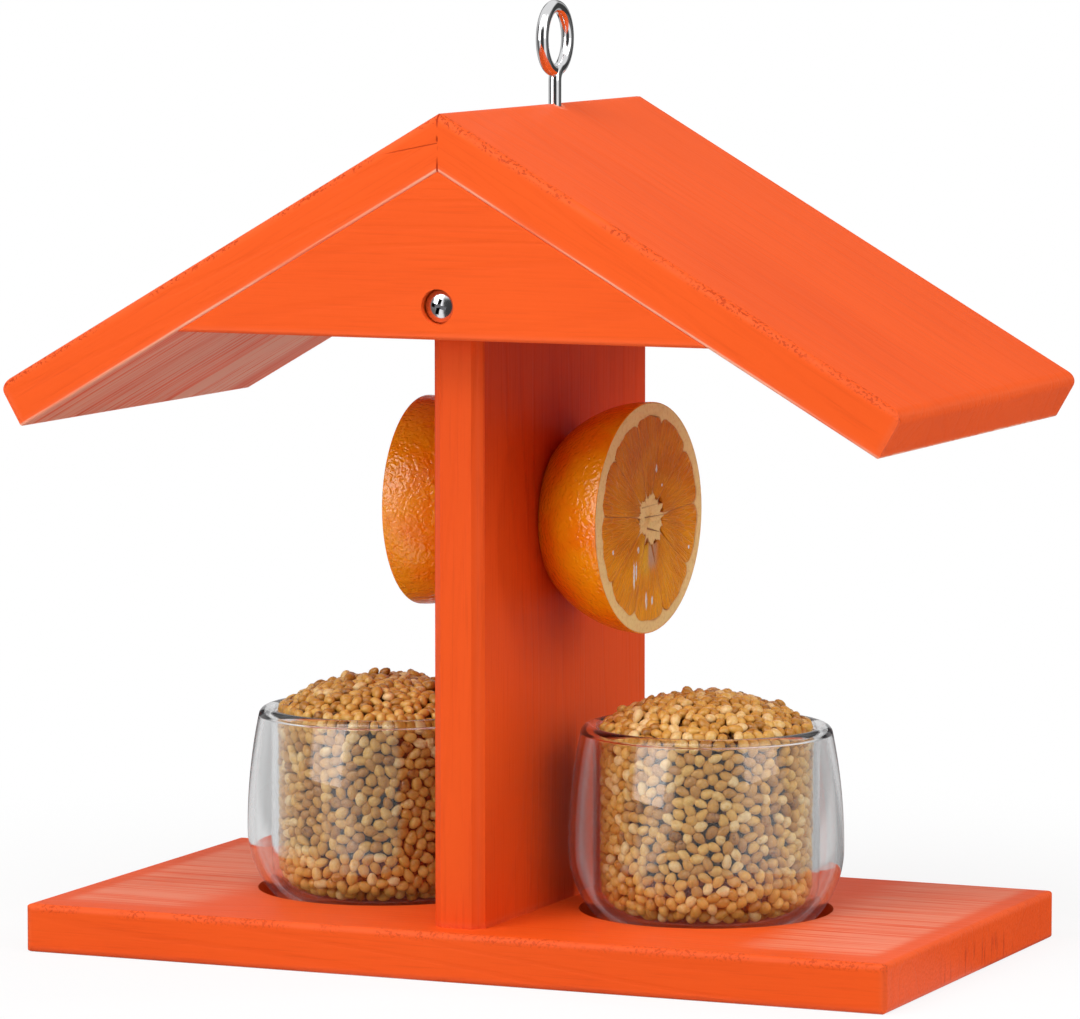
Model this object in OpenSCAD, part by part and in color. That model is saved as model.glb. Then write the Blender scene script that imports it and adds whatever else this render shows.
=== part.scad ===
/* [Boards] */
// Thickness of the base board and the roof boards
board_t = 16; // [12:0.5:20]
// Radius of the eased edges of the base board
base_ease_r = 2; // [0.5:0.25:3]

/* [Base] */
// Length of the base board, left to right
base_l = 300; // [290:1:360]
// Depth of the base board, front to back
base_d = 160; // [140:1:200]

/* [Post] */
// Thickness of the post
post_t = 17.4; // [12:0.1:20]
// Chamfer on the four upright edges of the post
post_chamfer = 3.3; // [1:0.1:5]

/* [Roof] */
// Height of the ridge above the ground
ridge_h = 277; // [262:1:320]
// Width of the roof from eave to eave
roof_span = 312; // [290:1:360]
// Depth of the roof along its ridge
roof_d = 168; // [150:1:200]
// Slope of each roof board, in degrees
roof_pitch = 30; // [26:0.5:34]
// Radius on the long upper edges of the roof boards
roof_edge_r = 3; // [1:0.25:5]
// Radius on the upper corner of each eave
eave_r = 4; // [1:0.25:6]
// Radius on the lower edges of the roof boards
roof_under_r = 0.8; // [0.4:0.1:1.5]
// Chamfer where the two roof boards meet at the ridge
ridge_chamfer = 0.6; // [0.3:0.1:1.5]

/* [Gables] */
// Thickness of a gable
gable_t = 14; // [12:0.5:18]
// Height of a gable from its lower edge to its peak
gable_h = 53; // [45:1:62]
// Radius on the lower edges of a gable
gable_ease_r = 1.2; // [0.4:0.1:2]
// Chamfer that leaves a fine line between gable and roof
joint_line = 0.5; // [0.2:0.1:1]

/* [Cups] */
// Space between the post and the belly of a cup
cup_post_gap = 4.4; // [3:0.1:12]
// Height of a cup from its foot to its rim
cup_h = 68.5; // [55:0.5:80]
// Diameter over the belly, the widest place
cup_belly_d = 89.8; // [80:0.2:100]
// Height of the belly above the foot
cup_belly_h = 28; // [22:0.5:32]
// How far the outside of the rim stands in from the belly
cup_rim_inset = 4.4; // [2:0.1:8]
// How far the edge of the foot stands in from the belly
cup_foot_inset = 16.1; // [10:0.1:20]
// Width of the rim
cup_rim_w = 5.5; // [4.5:0.1:8]
// Radius of the rounded inner corner at the bottom
cup_corner_r = 10; // [6:0.5:14]
// Thickness of the glass in both walls
cup_wall = 2; // [1.5:0.1:2.4]
// Air between the two bottoms
cup_floor_gap = 2.6; // [1.5:0.1:4]
// Solid glass at the rim, above the air between the walls
cup_rim_solid = 5; // [4:0.5:9]
// Diameter of the vent in the outer bottom
cup_vent_d = 3; // [2:0.5:5]
// Space round a cup in its recess, at the top of the board
recess_gap = 3.5; // [1:0.1:6]
// Depth of that recess
recess_depth = 8; // [5:0.5:9]

/* [Seed] */
// Height of the seed mound above the rim
mound_h = 12; // [8:0.5:16]
// Where the mound starts, below the rim
mound_start = 2.5; // [1:0.5:6]
// Space between the seed and the glass
seed_gap = 0.25; // [0.15:0.05:0.5]
// Depth of the hollows between the grains
grain_depth = 0.9; // [0.4:0.1:1.4]
// Height of a row of grains
grain_pitch = 3; // [3:0.25:5]
// Half grains in a row, an even number
grain_steps = 72; // [48:2:72]

/* [Orange halves] */
// Diameter of the right orange
orange_right_d = 75.5; // [66:0.5:78]
// Diameter of the left orange
orange_left_d = 69; // [64:0.5:78]
// Space between the rims of the cups and the right orange above them
orange_clear = 28.75; // [20:0.25:40]
// How far the right orange is pressed flat against the post
orange_right_press = 8.75; // [3:0.05:10]
// How far the left orange is pressed flat against the post
orange_left_press = 1; // [0.5:0.05:8]
// Height of the middle of the left orange above the spike
orange_left_rise = 3; // [0:0.5:4]
// Turn of the right half towards the front, in degrees
orange_turn = 5; // [0:0.5:6]
// Thickness of the peel with its white pith
peel_t = 4; // [3:0.25:6]
// Number of juice segments
segment_count = 10; // [8:1:12]
// Thickness of the skin between two segments
membrane_t = 0.9; // [0.5:0.1:1.5]
// Radius of the two outer corners of a segment
segment_corner_r = 3; // [1:0.25:5]
// Diameter of the white core
core_d = 13; // [9:0.5:15]

/* [Fruit spike] */
// Diameter of the spike through the post
spike_d = 3.5; // [2.5:0.25:5]
// Depth of the spike's points under the cut faces of the oranges
spike_cover = 7.3; // [4:0.1:12]
// Length of its two points
spike_point = 8; // [4:0.5:12]

/* [Gable screws] */
// Diameter of the pan head
pan_d = 10.2; // [8:0.25:10.5]
// Height of the pan head
pan_h = 2.9; // [2:0.1:3.5]
// Radius of the crown of the pan head
pan_crown_r = 9; // [7:0.5:14]
// Space round the head in its counterbore
counterbore_gap = 0.5; // [0.3:0.05:1.5]
// Depth of the counterbore
counterbore_depth = 3.8; // [3:0.1:6]
// Shank diameter of all the wood screws
shank_d = 4.2; // [3.5:0.1:5]
// Length of a gable screw under its head
gable_screw_l = 32; // [26:1:40]
// Height of the screw above the lower edge of the gable
gable_screw_rise = 10.5; // [8:0.5:14]
// Width over the cross recess
cross_w = 5; // [4:0.25:5.5]
// Width of one slot of the cross recess
cross_slot = 1.2; // [0.8:0.1:1.5]
// Depth of the cross recess
cross_depth = 1.7; // [1:0.1:2]
// Turn of the cross recess in a gable screw, in degrees
cross_turn = 15; // [0:5:45]

/* [Base screws] */
// Diameter of the countersunk heads
flat_head_d = 8.4; // [7:0.2:10]
// Length of a base screw with its head
base_screw_l = 45; // [35:1:60]
// Distance between the two base screws
base_screw_spacing = 80; // [50:1:100]
// How deep the heads lie under the board
flat_head_sink = 0.5; // [0.2:0.1:1]

/* [Roof brads] */
// Diameter of the wire brads
brad_d = 1.2; // [1:0.1:1.6]
// Length of a brad
brad_l = 24; // [20:1:26]
// Diameter of a brad's head
brad_head_d = 2.2; // [1.8:0.1:3]
// Wood and filler above the sunk heads
brad_sink = 1.5; // [1:0.1:3]
// Distance of the brads from both ends of a gable's slope
brad_margin = 32; // [26:1:40]

/* [Eye screw] */
// Diameter of the wire
eye_wire_d = 4.2; // [3:0.1:5]
// Diameter of the ring at the middle of its wire
eye_ring_d = 21; // [18:0.5:26]
// Height of the middle of the ring above the ridge
eye_rise = 21; // [20:0.5:28]
// How far the eye stands behind the middle of the ridge
eye_offset = 10; // [-15:1:15]
// Radius of the bend from the shank into the ring
eye_bend_r = 4; // [3:0.25:6]
// Opening between the end of the ring and the shank, in degrees
eye_open = 10; // [9:1:20]
// Length of the eye's shank in the wood
eye_shank_l = 45; // [30:1:60]

/* [Clearances] */
// Space round screws, brads and the spike in their holes
hole_gap = 0.05; // [0.02:0.01:0.15]

/* [Hidden] */
$fn = 96;

// Overlap of a cutting shape past the face that it cuts
over = 1;
// Colours of the paint, the metal, the glass and the food
paint = [1.00, 0.40, 0.15];
steel = [0.78, 0.78, 0.80];
glass = [0.85, 0.92, 0.93, 0.35];
grain = [0.78, 0.60, 0.34];
peel = [1.00, 0.58, 0.10];
pulp = [0.96, 0.66, 0.20];

// Roof, measured from the ridge
slope_l = roof_span / 2 / cos(roof_pitch);
mitre_run = board_t * tan(roof_pitch);
under_ridge_z = ridge_h - board_t / cos(roof_pitch);
gable_z = under_ridge_z - gable_h;
gable_half_w = gable_h / tan(roof_pitch);
gable_slope_l = gable_h / sin(roof_pitch);
gable_inner_y = roof_d / 2 - gable_t;
gable_mid_y = (roof_d - gable_t) / 2;

// Post, which stands on the base and fills the space between the gables
post_w = 2 * gable_inner_y;
post_face_x = post_t / 2;

// Cup, whose section is two arcs that meet at the belly
belly_r = cup_belly_d / 2;
cup_x = post_face_x + cup_post_gap + belly_r;
cup_foot_z = board_t - recess_depth;
cup_rim_z = cup_foot_z + cup_h;
belly_z = cup_foot_z + cup_belly_h;
bore_r = belly_r - cup_rim_inset - cup_rim_w;
rim_over_belly = cup_rim_z - belly_z;
cup_upper_r = (rim_over_belly ^ 2 + cup_rim_inset ^ 2) / (2 * cup_rim_inset);
cup_lower_r = (cup_belly_h ^ 2 + cup_foot_inset ^ 2) / (2 * cup_foot_inset);
upper_centre_r = belly_r - cup_upper_r;
lower_centre_r = belly_r - cup_lower_r;
recess_r = lower_centre_r + sqrt(cup_lower_r ^ 2 - (belly_z - board_t) ^ 2) + recess_gap;
bowl_z = cup_foot_z + 2 * cup_wall + cup_floor_gap;
// Radius of the rim bead that is tangent to the outer arc and to the bore
bore_from_centre = bore_r - upper_centre_r;
bead_sum = bore_from_centre - rim_over_belly + cup_upper_r;
bead_r = sqrt(bead_sum ^ 2 - bore_from_centre ^ 2 - rim_over_belly ^ 2 + cup_upper_r ^ 2) - bead_sum;
bead_centre_r = bore_r + bead_r;
bead_z = cup_rim_z - bead_r;
bead_tangent_z = bead_z + bead_r * (bead_z - belly_z) / (cup_upper_r - bead_r);

// Oranges, cut through their middles and pressed flat on the post.
// Each is [radius, place of its cut face along X, height of its middle, turn].
spike_h = cup_rim_z + orange_clear + orange_right_d / 2;
function fruit(d, press, rise, turn) = [d / 2, post_face_x + d / 2 - press, spike_h + rise, turn];
right_fruit = fruit(orange_right_d, orange_right_press, 0, orange_turn);
left_fruit = fruit(orange_left_d, orange_left_press, orange_left_rise, 0);
function spike_tip_x(fruit) = fruit[1] - spike_cover;
segment_half_deg = 180 / segment_count;

// Eye screw, a wire that bends from its shank into a ring
eye_wire_r = eye_wire_d / 2;
eye_ring_r = eye_ring_d / 2;
eye_centre_z = ridge_h + eye_rise;
eye_bend_z = eye_centre_z - sqrt(eye_ring_r ^ 2 + 2 * eye_ring_r * eye_bend_r);
eye_bend_deg = acos(eye_bend_r / (eye_ring_r + eye_bend_r));
eye_tip_z = ridge_h - eye_shank_l;
// Length of its point, twice as long as the wire is thick
eye_point = 2 * eye_wire_d;
// How much the wire swells where its bends begin
eye_swell = 0.02;

// Screws
gable_screw_z = gable_z + gable_screw_rise;
head_seat_y = roof_d / 2 - counterbore_depth;
// Length of a screw's point, for a point angle of about 35 degrees
screw_point = 1.6 * shank_d;
flat_head_h = (flat_head_d - shank_d) / 2;

// A rectangle round the origin with four round corners
module rounded_rect(w, h, r) {
    square([w - 2 * r, h], center = true);
    square([w, h - 2 * r], center = true);
    for (x = [-1, 1], y = [-1, 1])
        translate([x * (w / 2 - r), y * (h / 2 - r)]) circle(r);
}

// A board standing on z = 0 with all its edges eased
module eased_board(l, d, t, r) {
    intersection() {
        linear_extrude(t) rounded_rect(l, d, r);
        translate([0, d / 2, t / 2]) rotate([90, 0, 0]) linear_extrude(d) rounded_rect(l, t, r);
        translate([-l / 2, 0, t / 2]) rotate([90, 0, 90]) linear_extrude(l) rounded_rect(d, t, r);
    }
}

// A round wood screw along +Z with its head's seat at z = 0, pointed at the far end
module screw_shank(d, l, point_l) {
    rotate_extrude() polygon([[0, 0], [d / 2, 0], [d / 2, l - point_l], [0, l]]);
}

// Puts a shape drawn along +Z at a front gable screw, pointing into the post
module at_front_screw() {
    translate([0, -head_seat_y, gable_screw_z]) rotate([-90, 0, 0]) children();
}

// Places each base screw, with its head downwards
module at_base_screws() {
    for (y = [-1, 1])
        translate([0, y * base_screw_spacing / 2, flat_head_sink]) children();
}

// Places the brads of the right roof board, along +Z down through board and gable
module at_right_brads() {
    for (y = [-1, 1], place = [brad_margin, gable_slope_l - brad_margin])
        translate([0, y * gable_mid_y, ridge_h])
            rotate([0, roof_pitch, 0])
                translate([mitre_run + place, 0, -brad_sink])
                    rotate([180, 0, 0]) children();
}

module brad(gap = 0) {
    cylinder(d = brad_head_d + 2 * gap, h = brad_d + gap);
    cylinder(d = brad_d + 2 * gap, h = brad_l + gap);
}

// Drilled hole of the eye screw through the ridge into the post
module eye_hole() {
    translate([0, eye_offset, eye_tip_z - hole_gap])
        cylinder(r = eye_wire_r + hole_gap, h = eye_shank_l + board_t);
}

module base_board() {
    color(paint) difference() {
        eased_board(base_l, base_d, board_t, base_ease_r);
        for (side = [-1, 1])
            translate([side * cup_x, 0, cup_foot_z]) cylinder(r = recess_r, h = recess_depth + over);
        at_base_screws() {
            translate([0, 0, -over]) cylinder(d = flat_head_d + 2 * hole_gap, h = over);
            rotate_extrude() polygon([
                [0, 0], [flat_head_d / 2 + hole_gap, 0],
                [shank_d / 2 + hole_gap, flat_head_h], [0, flat_head_h]
            ]);
            cylinder(d = shank_d + 2 * hole_gap, h = board_t + over);
        }
    }
}

// Section of the post across its width, with its four chamfers
module post_section() {
    x = post_face_x;
    y = post_w / 2;
    c = post_chamfer;
    polygon([
        [x - c, -y], [x, c - y], [x, y - c], [x - c, y],
        [c - x, y], [-x, y - c], [-x, c - y], [c - x, -y]
    ]);
}

module post_board() {
    shoulder_z = under_ridge_z - post_face_x * tan(roof_pitch);
    color(paint) difference() {
        intersection() {
            translate([0, 0, board_t]) linear_extrude(ridge_h) post_section();
            translate([0, post_w / 2, 0]) rotate([90, 0, 0]) linear_extrude(post_w) polygon([
                [-post_face_x, 0], [post_face_x, 0], [post_face_x, shoulder_z],
                [0, under_ridge_z], [-post_face_x, shoulder_z]
            ]);
        }
        for (turn = [0, 180]) rotate([0, 0, turn])
            at_front_screw() cylinder(d = shank_d + 2 * hole_gap, h = gable_screw_l + hole_gap);
        at_base_screws() cylinder(d = shank_d + 2 * hole_gap, h = base_screw_l + hole_gap);
        translate([-post_face_x - over, 0, spike_h]) rotate([0, 90, 0])
            cylinder(d = spike_d + 2 * hole_gap, h = post_t + 2 * over);
        eye_hole();
    }
}

// Section of a roof board between two eased edges, its top on y = 0
module eased_strip(w, top_r, under_r) {
    translate([top_r - w / 2, -board_t]) square([w - 2 * top_r, board_t]);
    translate([-w / 2, under_r - board_t]) square([w, board_t - top_r - under_r]);
    translate([under_r - w / 2, -board_t]) square([w - 2 * under_r, board_t - top_r]);
    for (x = [-1, 1]) {
        translate([x * (w / 2 - top_r), -top_r]) circle(top_r);
        translate([x * (w / 2 - under_r), under_r - board_t]) circle(under_r);
    }
}

// Right roof board as it lies flat, its top at z = 0, ridge at the left and eave at the right
module flat_roof_board() {
    c = ridge_chamfer;
    end_x = slope_l + over;
    low_z = -board_t - over;
    intersection() {
        translate([0, roof_d / 2, 0]) rotate([90, 0, 0])
            linear_extrude(roof_d) eased_strip(2 * slope_l, eave_r, roof_under_r);
        rotate([90, 0, 90]) linear_extrude(end_x) eased_strip(roof_d, roof_edge_r, roof_under_r);
        translate([0, roof_d, 0]) rotate([90, 0, 0]) linear_extrude(2 * roof_d) polygon([
            [c, over], [c, 0], [c * tan(roof_pitch), -c],
            [-low_z * tan(roof_pitch), low_z], [end_x, low_z], [end_x, over]
        ]);
    }
}

module roof_board() {
    color(paint) difference() {
        translate([0, 0, ridge_h]) rotate([0, roof_pitch, 0]) flat_roof_board();
        at_right_brads() brad(hole_gap);
        eye_hole();
    }
}

module roof_board_right() roof_board();
module roof_board_left() mirror([1, 0, 0]) roof_board();

// Front gable, a triangle under the two roof boards
module gable() {
    color(paint) difference() {
        intersection() {
            translate([0, -gable_inner_y, 0]) rotate([90, 0, 0]) linear_extrude(gable_t) polygon([
                [-gable_half_w, gable_z], [gable_half_w, gable_z], [0, under_ridge_z]
            ]);
            translate([-gable_half_w, -gable_mid_y, gable_z + gable_h])
                rotate([90, 0, 90]) linear_extrude(2 * gable_half_w)
                    rounded_rect(gable_t, 2 * gable_h, gable_ease_r);
        }
        for (side = [0, 1]) mirror([side, 0, 0])
            translate([0, -roof_d / 2, under_ridge_z]) rotate([0, roof_pitch, 0]) rotate([45, 0, 0])
                cube([2 * gable_slope_l + over, joint_line, joint_line], center = true);
        for (side = [0, 1]) mirror([side, 0, 0]) at_right_brads() brad(hole_gap);
        at_front_screw() {
            translate([0, 0, -counterbore_depth - over])
                cylinder(d = pan_d + 2 * counterbore_gap, h = counterbore_depth + over);
            cylinder(d = shank_d + 2 * hole_gap, h = gable_t);
        }
    }
}

module gable_front() gable();
module gable_back() rotate([0, 0, 180]) gable();

// Pan-head screw with a cross recess, its head seated in the counterbore
module gable_screw() {
    color(steel) at_front_screw() difference() {
        union() {
            screw_shank(shank_d, gable_screw_l, screw_point);
            intersection() {
                translate([0, 0, pan_crown_r - pan_h]) sphere(pan_crown_r);
                translate([0, 0, -pan_h]) cylinder(d = pan_d, h = pan_h);
            }
        }
        for (turn = [0, 90]) rotate([0, 0, cross_turn + turn])
            translate([-cross_w / 2, -cross_slot / 2, -pan_h - over])
                cube([cross_w, cross_slot, cross_depth + over]);
    }
}

module gable_screw_front() gable_screw();
module gable_screw_back() rotate([0, 0, 180]) gable_screw();

module base_screws() {
    color(steel) at_base_screws() difference() {
        union() {
            cylinder(d1 = flat_head_d, d2 = shank_d, h = flat_head_h);
            screw_shank(shank_d, base_screw_l, screw_point);
        }
        for (turn = [0, 90]) rotate([0, 0, turn])
            translate([-cross_w / 2, -cross_slot / 2, -over]) cube([cross_w, cross_slot, cross_depth + over]);
    }
}

module roof_brads() {
    color(steel) for (side = [0, 1]) mirror([side, 0, 0]) at_right_brads() brad();
}

// The wire goes up its shank, bends back, runs over the top and ends in front of the shank
module eye_screw() {
    color(steel) translate([0, eye_offset, 0]) {
        translate([0, 0, eye_tip_z]) mirror([0, 0, 1]) translate([0, 0, eye_tip_z - eye_bend_z])
            screw_shank(eye_wire_d, eye_bend_z - eye_tip_z, eye_point);
        rotate([90, 0, 90]) {
            translate([eye_bend_r, eye_bend_z]) rotate(180 - eye_bend_deg)
                rotate_extrude(angle = eye_bend_deg) translate([eye_bend_r, 0]) circle(eye_wire_r);
            translate([0, eye_centre_z]) rotate(-eye_bend_deg)
                rotate_extrude(angle = 270 - eye_open + eye_bend_deg)
                    translate([eye_ring_r, 0]) circle(eye_wire_r);
            translate([0, eye_bend_z]) sphere(eye_wire_r + eye_swell);
            translate([0, eye_centre_z]) rotate(-eye_bend_deg)
                translate([eye_ring_r, 0]) sphere(eye_wire_r + eye_swell);
        }
    }
}

// One rod with a point at each end, driven through the post
module fruit_spike() {
    r = spike_d / 2;
    left_x = spike_tip_x(left_fruit);
    right_x = spike_tip_x(right_fruit);
    color(steel) translate([0, 0, spike_h]) rotate([0, 90, 0]) rotate_extrude() polygon([
        [0, -left_x], [r, spike_point - left_x], [r, right_x - spike_point], [0, right_x]
    ]);
}

// Half section of the space inside the outer curve of a cup, drawn smaller by inset
module cup_outer(inset = 0) {
    top_z = inset > 0 ? cup_rim_z - cup_rim_solid : bead_tangent_z;
    intersection() {
        translate([upper_centre_r, belly_z]) circle(cup_upper_r - inset, $fn = 360);
        translate([0, belly_z]) square([belly_r, top_z - belly_z]);
    }
    foot_z = cup_foot_z + inset;
    translate([0, foot_z]) square([lower_centre_r, belly_z - foot_z]);
    intersection() {
        translate([lower_centre_r, belly_z]) circle(cup_lower_r - inset);
        translate([lower_centre_r, foot_z]) square([cup_lower_r, belly_z - foot_z]);
    }
}

// Half section of the bowl that holds the seed, drawn larger by grow
module cup_bowl(grow = 0) {
    r = bore_r + grow;
    corner = cup_corner_r + grow;
    low_z = bowl_z - grow;
    translate([0, low_z + corner]) square([r, cup_h]);
    translate([0, low_z]) square([r - corner, corner + over]);
    intersection() {
        translate([r - corner, low_z + corner]) circle(corner);
        translate([0, low_z]) square([r, corner + over]);
    }
}

// Double-walled glass cup: an outer curve, a straight bowl, and air between the two walls
module cup() {
    color(glass) rotate_extrude() {
        difference() {
            cup_outer();
            difference() {
                cup_outer(cup_wall);
                cup_bowl(cup_wall);
            }
            cup_bowl();
            translate([0, bead_z]) square([bead_centre_r, cup_h]);
            square([cup_vent_d / 2, cup_foot_z + cup_wall + over]);
        }
        translate([bead_centre_r, bead_z]) circle(bead_r);
    }
}

module cup_left() translate([-cup_x, 0, 0]) cup();
module cup_right() translate([cup_x, 0, 0]) cup();

// Profile of the seed from its bottom corner up the wall and over the mound, as [radius, height]
seed_r = bore_r - seed_gap;
seed_floor_z = bowl_z + seed_gap;
seed_wall_z = seed_floor_z + cup_corner_r;
seed_edge_z = cup_rim_z - mound_start;
mound_rise = mound_h + mound_start;
mound_r = (seed_r ^ 2 + mound_rise ^ 2) / (2 * mound_rise);
mound_deg = asin(seed_r / mound_r);
corner_rows = 4;
wall_rows = round((seed_edge_z - seed_wall_z) / grain_pitch);
mound_rows = floor(mound_r * mound_deg * PI / 180 / grain_pitch);
seed_rows = [
    for (i = [0 : corner_rows - 1]) let (a = 90 * i / corner_rows)
        [seed_r - cup_corner_r * (1 - sin(a)), seed_floor_z + cup_corner_r * (1 - cos(a))],
    for (i = [0 : wall_rows - 1])
        [seed_r, seed_wall_z + (seed_edge_z - seed_wall_z) * i / wall_rows],
    for (i = [0 : mound_rows - 1]) let (a = mound_deg * (1 - i / mound_rows))
        [mound_r * sin(a), cup_rim_z + mound_h - mound_r * (1 - cos(a))]
];

// Seed as one solid whose surface rises and falls from grain to grain
module seed() {
    rows = len(seed_rows);
    n = grain_steps;
    mound_row = corner_rows + wall_rows;
    function dip(i, k) = i >= corner_rows && (i + k) % 2 == 1 ? grain_depth * seed_rows[i][0] / seed_r : 0;
    points = [
        for (i = [0 : rows - 1], k = [0 : n - 1])
            let (r = seed_rows[i][0] - (i < mound_row ? dip(i, k) : 0))
            let (z = seed_rows[i][1] - (i < mound_row ? 0 : dip(i, k)))
            [r * cos(360 * k / n), r * sin(360 * k / n), z],
        [0, 0, seed_floor_z],
        [0, 0, cup_rim_z + mound_h]
    ];
    faces = [
        for (i = [0 : rows - 2], k = [0 : n - 1])
            let (a = i * n + k, b = i * n + (k + 1) % n, c = b + n, d = a + n)
            each (i + k) % 2 == 0 ? [[a, d, b], [b, d, c]] : [[a, c, b], [a, d, c]],
        for (k = [0 : n - 1]) [rows * n, k, (k + 1) % n],
        for (k = [0 : n - 1]) [rows * n + 1, (rows - 1) * n + (k + 1) % n, (rows - 1) * n + k]
    ];
    color(grain) polyhedron(points, faces, convexity = 4);
}

module seed_left() translate([-cup_x, 0, 0]) seed();
module seed_right() translate([cup_x, 0, 0]) seed();

// Puts a half orange, cut face towards +X, at its place on the right of the post
module at_fruit(fruit) {
    translate([fruit[1], 0, fruit[2]]) rotate([0, 0, -fruit[3]]) children();
}

// Everything on the post's side of a face that lies off the post by a distance
module near_post(fruit, off) {
    d = 2 * fruit[0];
    translate([-d, -d, fruit[2] - d]) cube([d + post_face_x + off, 2 * d, 2 * d]);
}

module spike_hole(fruit) {
    translate([0, 0, spike_h]) rotate([0, 90, 0])
        cylinder(d = spike_d + 2 * hole_gap, h = spike_tip_x(fruit) + hole_gap);
}

// The ball of one orange behind its cut face
module half_ball(r) {
    intersection() {
        sphere(r, $fn = 128);
        translate([-2 * r, -r, -r]) cube(2 * r);
    }
}

// Section of one juice segment along +X, with straight skins and two round outer corners
module segment_section(flesh_r) {
    skin_r = membrane_t / 2;
    centre_r = flesh_r - segment_corner_r;
    skin_deg = asin((segment_corner_r + skin_r) / centre_r);
    corner_deg = segment_half_deg - skin_deg;
    ray = [cos(corner_deg), sin(corner_deg)];
    centre = centre_r * ray;
    side = [cos(segment_half_deg), sin(segment_half_deg)];
    skin_foot = centre_r * cos(skin_deg) * side + skin_r * [side[1], -side[0]];
    core_y = core_d / 2 * tan(segment_half_deg) - skin_r / cos(segment_half_deg);
    polygon([
        [core_d / 2, -core_y], [skin_foot[0], -skin_foot[1]], [centre[0], -centre[1]],
        centre, skin_foot, [core_d / 2, core_y]
    ]);
    intersection() {
        circle(flesh_r);
        polygon([
            core_d * [ray[0], -ray[1]], 2 * flesh_r * [ray[0], -ray[1]], 2 * flesh_r * ray, core_d * ray
        ]);
    }
    for (y = [-1, 1]) translate([centre[0], y * centre[1]]) circle(segment_corner_r);
}

// The juice segments, each cut from the ball between the core and the peel
module flesh(fruit) {
    flesh_r = fruit[0] - peel_t;
    color(pulp) difference() {
        at_fruit(fruit) intersection() {
            half_ball(flesh_r);
            for (i = [0 : segment_count - 1]) rotate([segment_half_deg * (2 * i + 1), 0, 0])
                translate([-2 * flesh_r, 0, 0]) rotate([90, 0, 90]) linear_extrude(4 * flesh_r)
                    segment_section(flesh_r);
        }
        near_post(fruit, peel_t);
        spike_hole(fruit);
    }
}

// Peel, pith, skins and core as one solid, with a pocket for each segment
module orange_peel(fruit) {
    color(peel) difference() {
        at_fruit(fruit) half_ball(fruit[0]);
        near_post(fruit, 0);
        spike_hole(fruit);
        flesh(fruit);
    }
}

module orange_peel_right() orange_peel(right_fruit);
module orange_flesh_right() flesh(right_fruit);
module orange_peel_left() mirror([1, 0, 0]) orange_peel(left_fruit);
module orange_flesh_left() mirror([1, 0, 0]) flesh(left_fruit);

base_board();
post_board();
roof_board_left();
roof_board_right();
gable_front();
gable_back();
gable_screw_front();
gable_screw_back();
base_screws();
roof_brads();
eye_screw();
fruit_spike();
cup_left();
cup_right();
seed_left();
seed_right();
orange_peel_left();
orange_peel_right();
orange_flesh_left();
orange_flesh_right();
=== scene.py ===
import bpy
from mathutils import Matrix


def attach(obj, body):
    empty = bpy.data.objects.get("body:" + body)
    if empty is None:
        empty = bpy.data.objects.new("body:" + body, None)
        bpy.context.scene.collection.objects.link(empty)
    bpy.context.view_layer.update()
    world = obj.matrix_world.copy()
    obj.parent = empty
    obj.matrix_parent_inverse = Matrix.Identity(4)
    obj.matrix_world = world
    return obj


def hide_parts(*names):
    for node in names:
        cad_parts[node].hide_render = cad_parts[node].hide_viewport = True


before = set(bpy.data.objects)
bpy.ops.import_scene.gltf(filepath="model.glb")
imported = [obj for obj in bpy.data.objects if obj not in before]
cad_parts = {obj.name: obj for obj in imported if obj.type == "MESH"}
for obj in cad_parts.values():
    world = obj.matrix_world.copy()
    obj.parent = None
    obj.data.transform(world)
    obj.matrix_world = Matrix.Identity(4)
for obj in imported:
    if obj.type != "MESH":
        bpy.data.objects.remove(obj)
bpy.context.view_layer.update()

import math

import bmesh
import bpy
import numpy as np
from mathutils import Vector

# The studio: a white sweep, two tall softboxes, one overhead, and behind on the
# right a strip for the cut fruit. Gloss and glass see dark cloth beside the
# camera and beside the background, hung to draw the edges of glass and chrome.
VIEW_TURN, VIEW_RISE, VIEW_DISTANCE = math.radians(23.34), math.radians(5.72), 2.1426
VIEW_TARGET = Vector((-0.0010, 0.0, 0.1442))
WHITE = (1, 1, 1, 1)


def feed(tree, node, inputs):
    """Sets inputs of a node. One that is given a socket is linked to it, any other gets the value."""
    for name, value in inputs.items():
        if isinstance(value, bpy.types.NodeSocket):
            tree.links.new(value, node.inputs[name])
        else:
            node.inputs[name].default_value = value


def put(tree, kind, inputs=None, **settings):
    """Adds a node."""
    made = tree.nodes.new(kind)
    for name, value in settings.items():
        setattr(made, name, value)
    feed(tree, made, inputs or {})
    return made


def get(tree, kind, inputs=None, **settings):
    """Adds a node, and gives its first output."""
    made = put(tree, kind, inputs, **settings)
    return made.outputs[0]


def parts(tree, vector):
    made = put(tree, "ShaderNodeSeparateXYZ", {0: vector})
    return made.outputs


def calc(tree, operation, *values, clamp=False):
    """One step of arithmetic on numbers or sockets."""
    return get(tree, "ShaderNodeMath", dict(enumerate(values)), operation=operation, use_clamp=clamp)


def times(tree, first, *others):
    """All the values multiplied."""
    for other in others:
        first = calc(tree, "MULTIPLY", first, other)
    return first


def fade(tree, value, low, high):
    """0 below low, 1 above high, and smooth between; low may be the larger."""
    return get(tree, "ShaderNodeMapRange", {"Value": value, "From Min": low, "From Max": high},
               interpolation_type="SMOOTHSTEP")


def grey(level):
    return (level, level, level, 1)


def mixed_paint(code):
    """A colour as it is seen, written like F07A10, as the light it sends back."""
    seen = [int(code[i:i + 2], 16) / 255 for i in (0, 2, 4)]
    return (*[c / 12.92 if c <= 0.04045 else ((c + 0.055) / 1.055) ** 2.4 for c in seen], 1.0)


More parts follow.
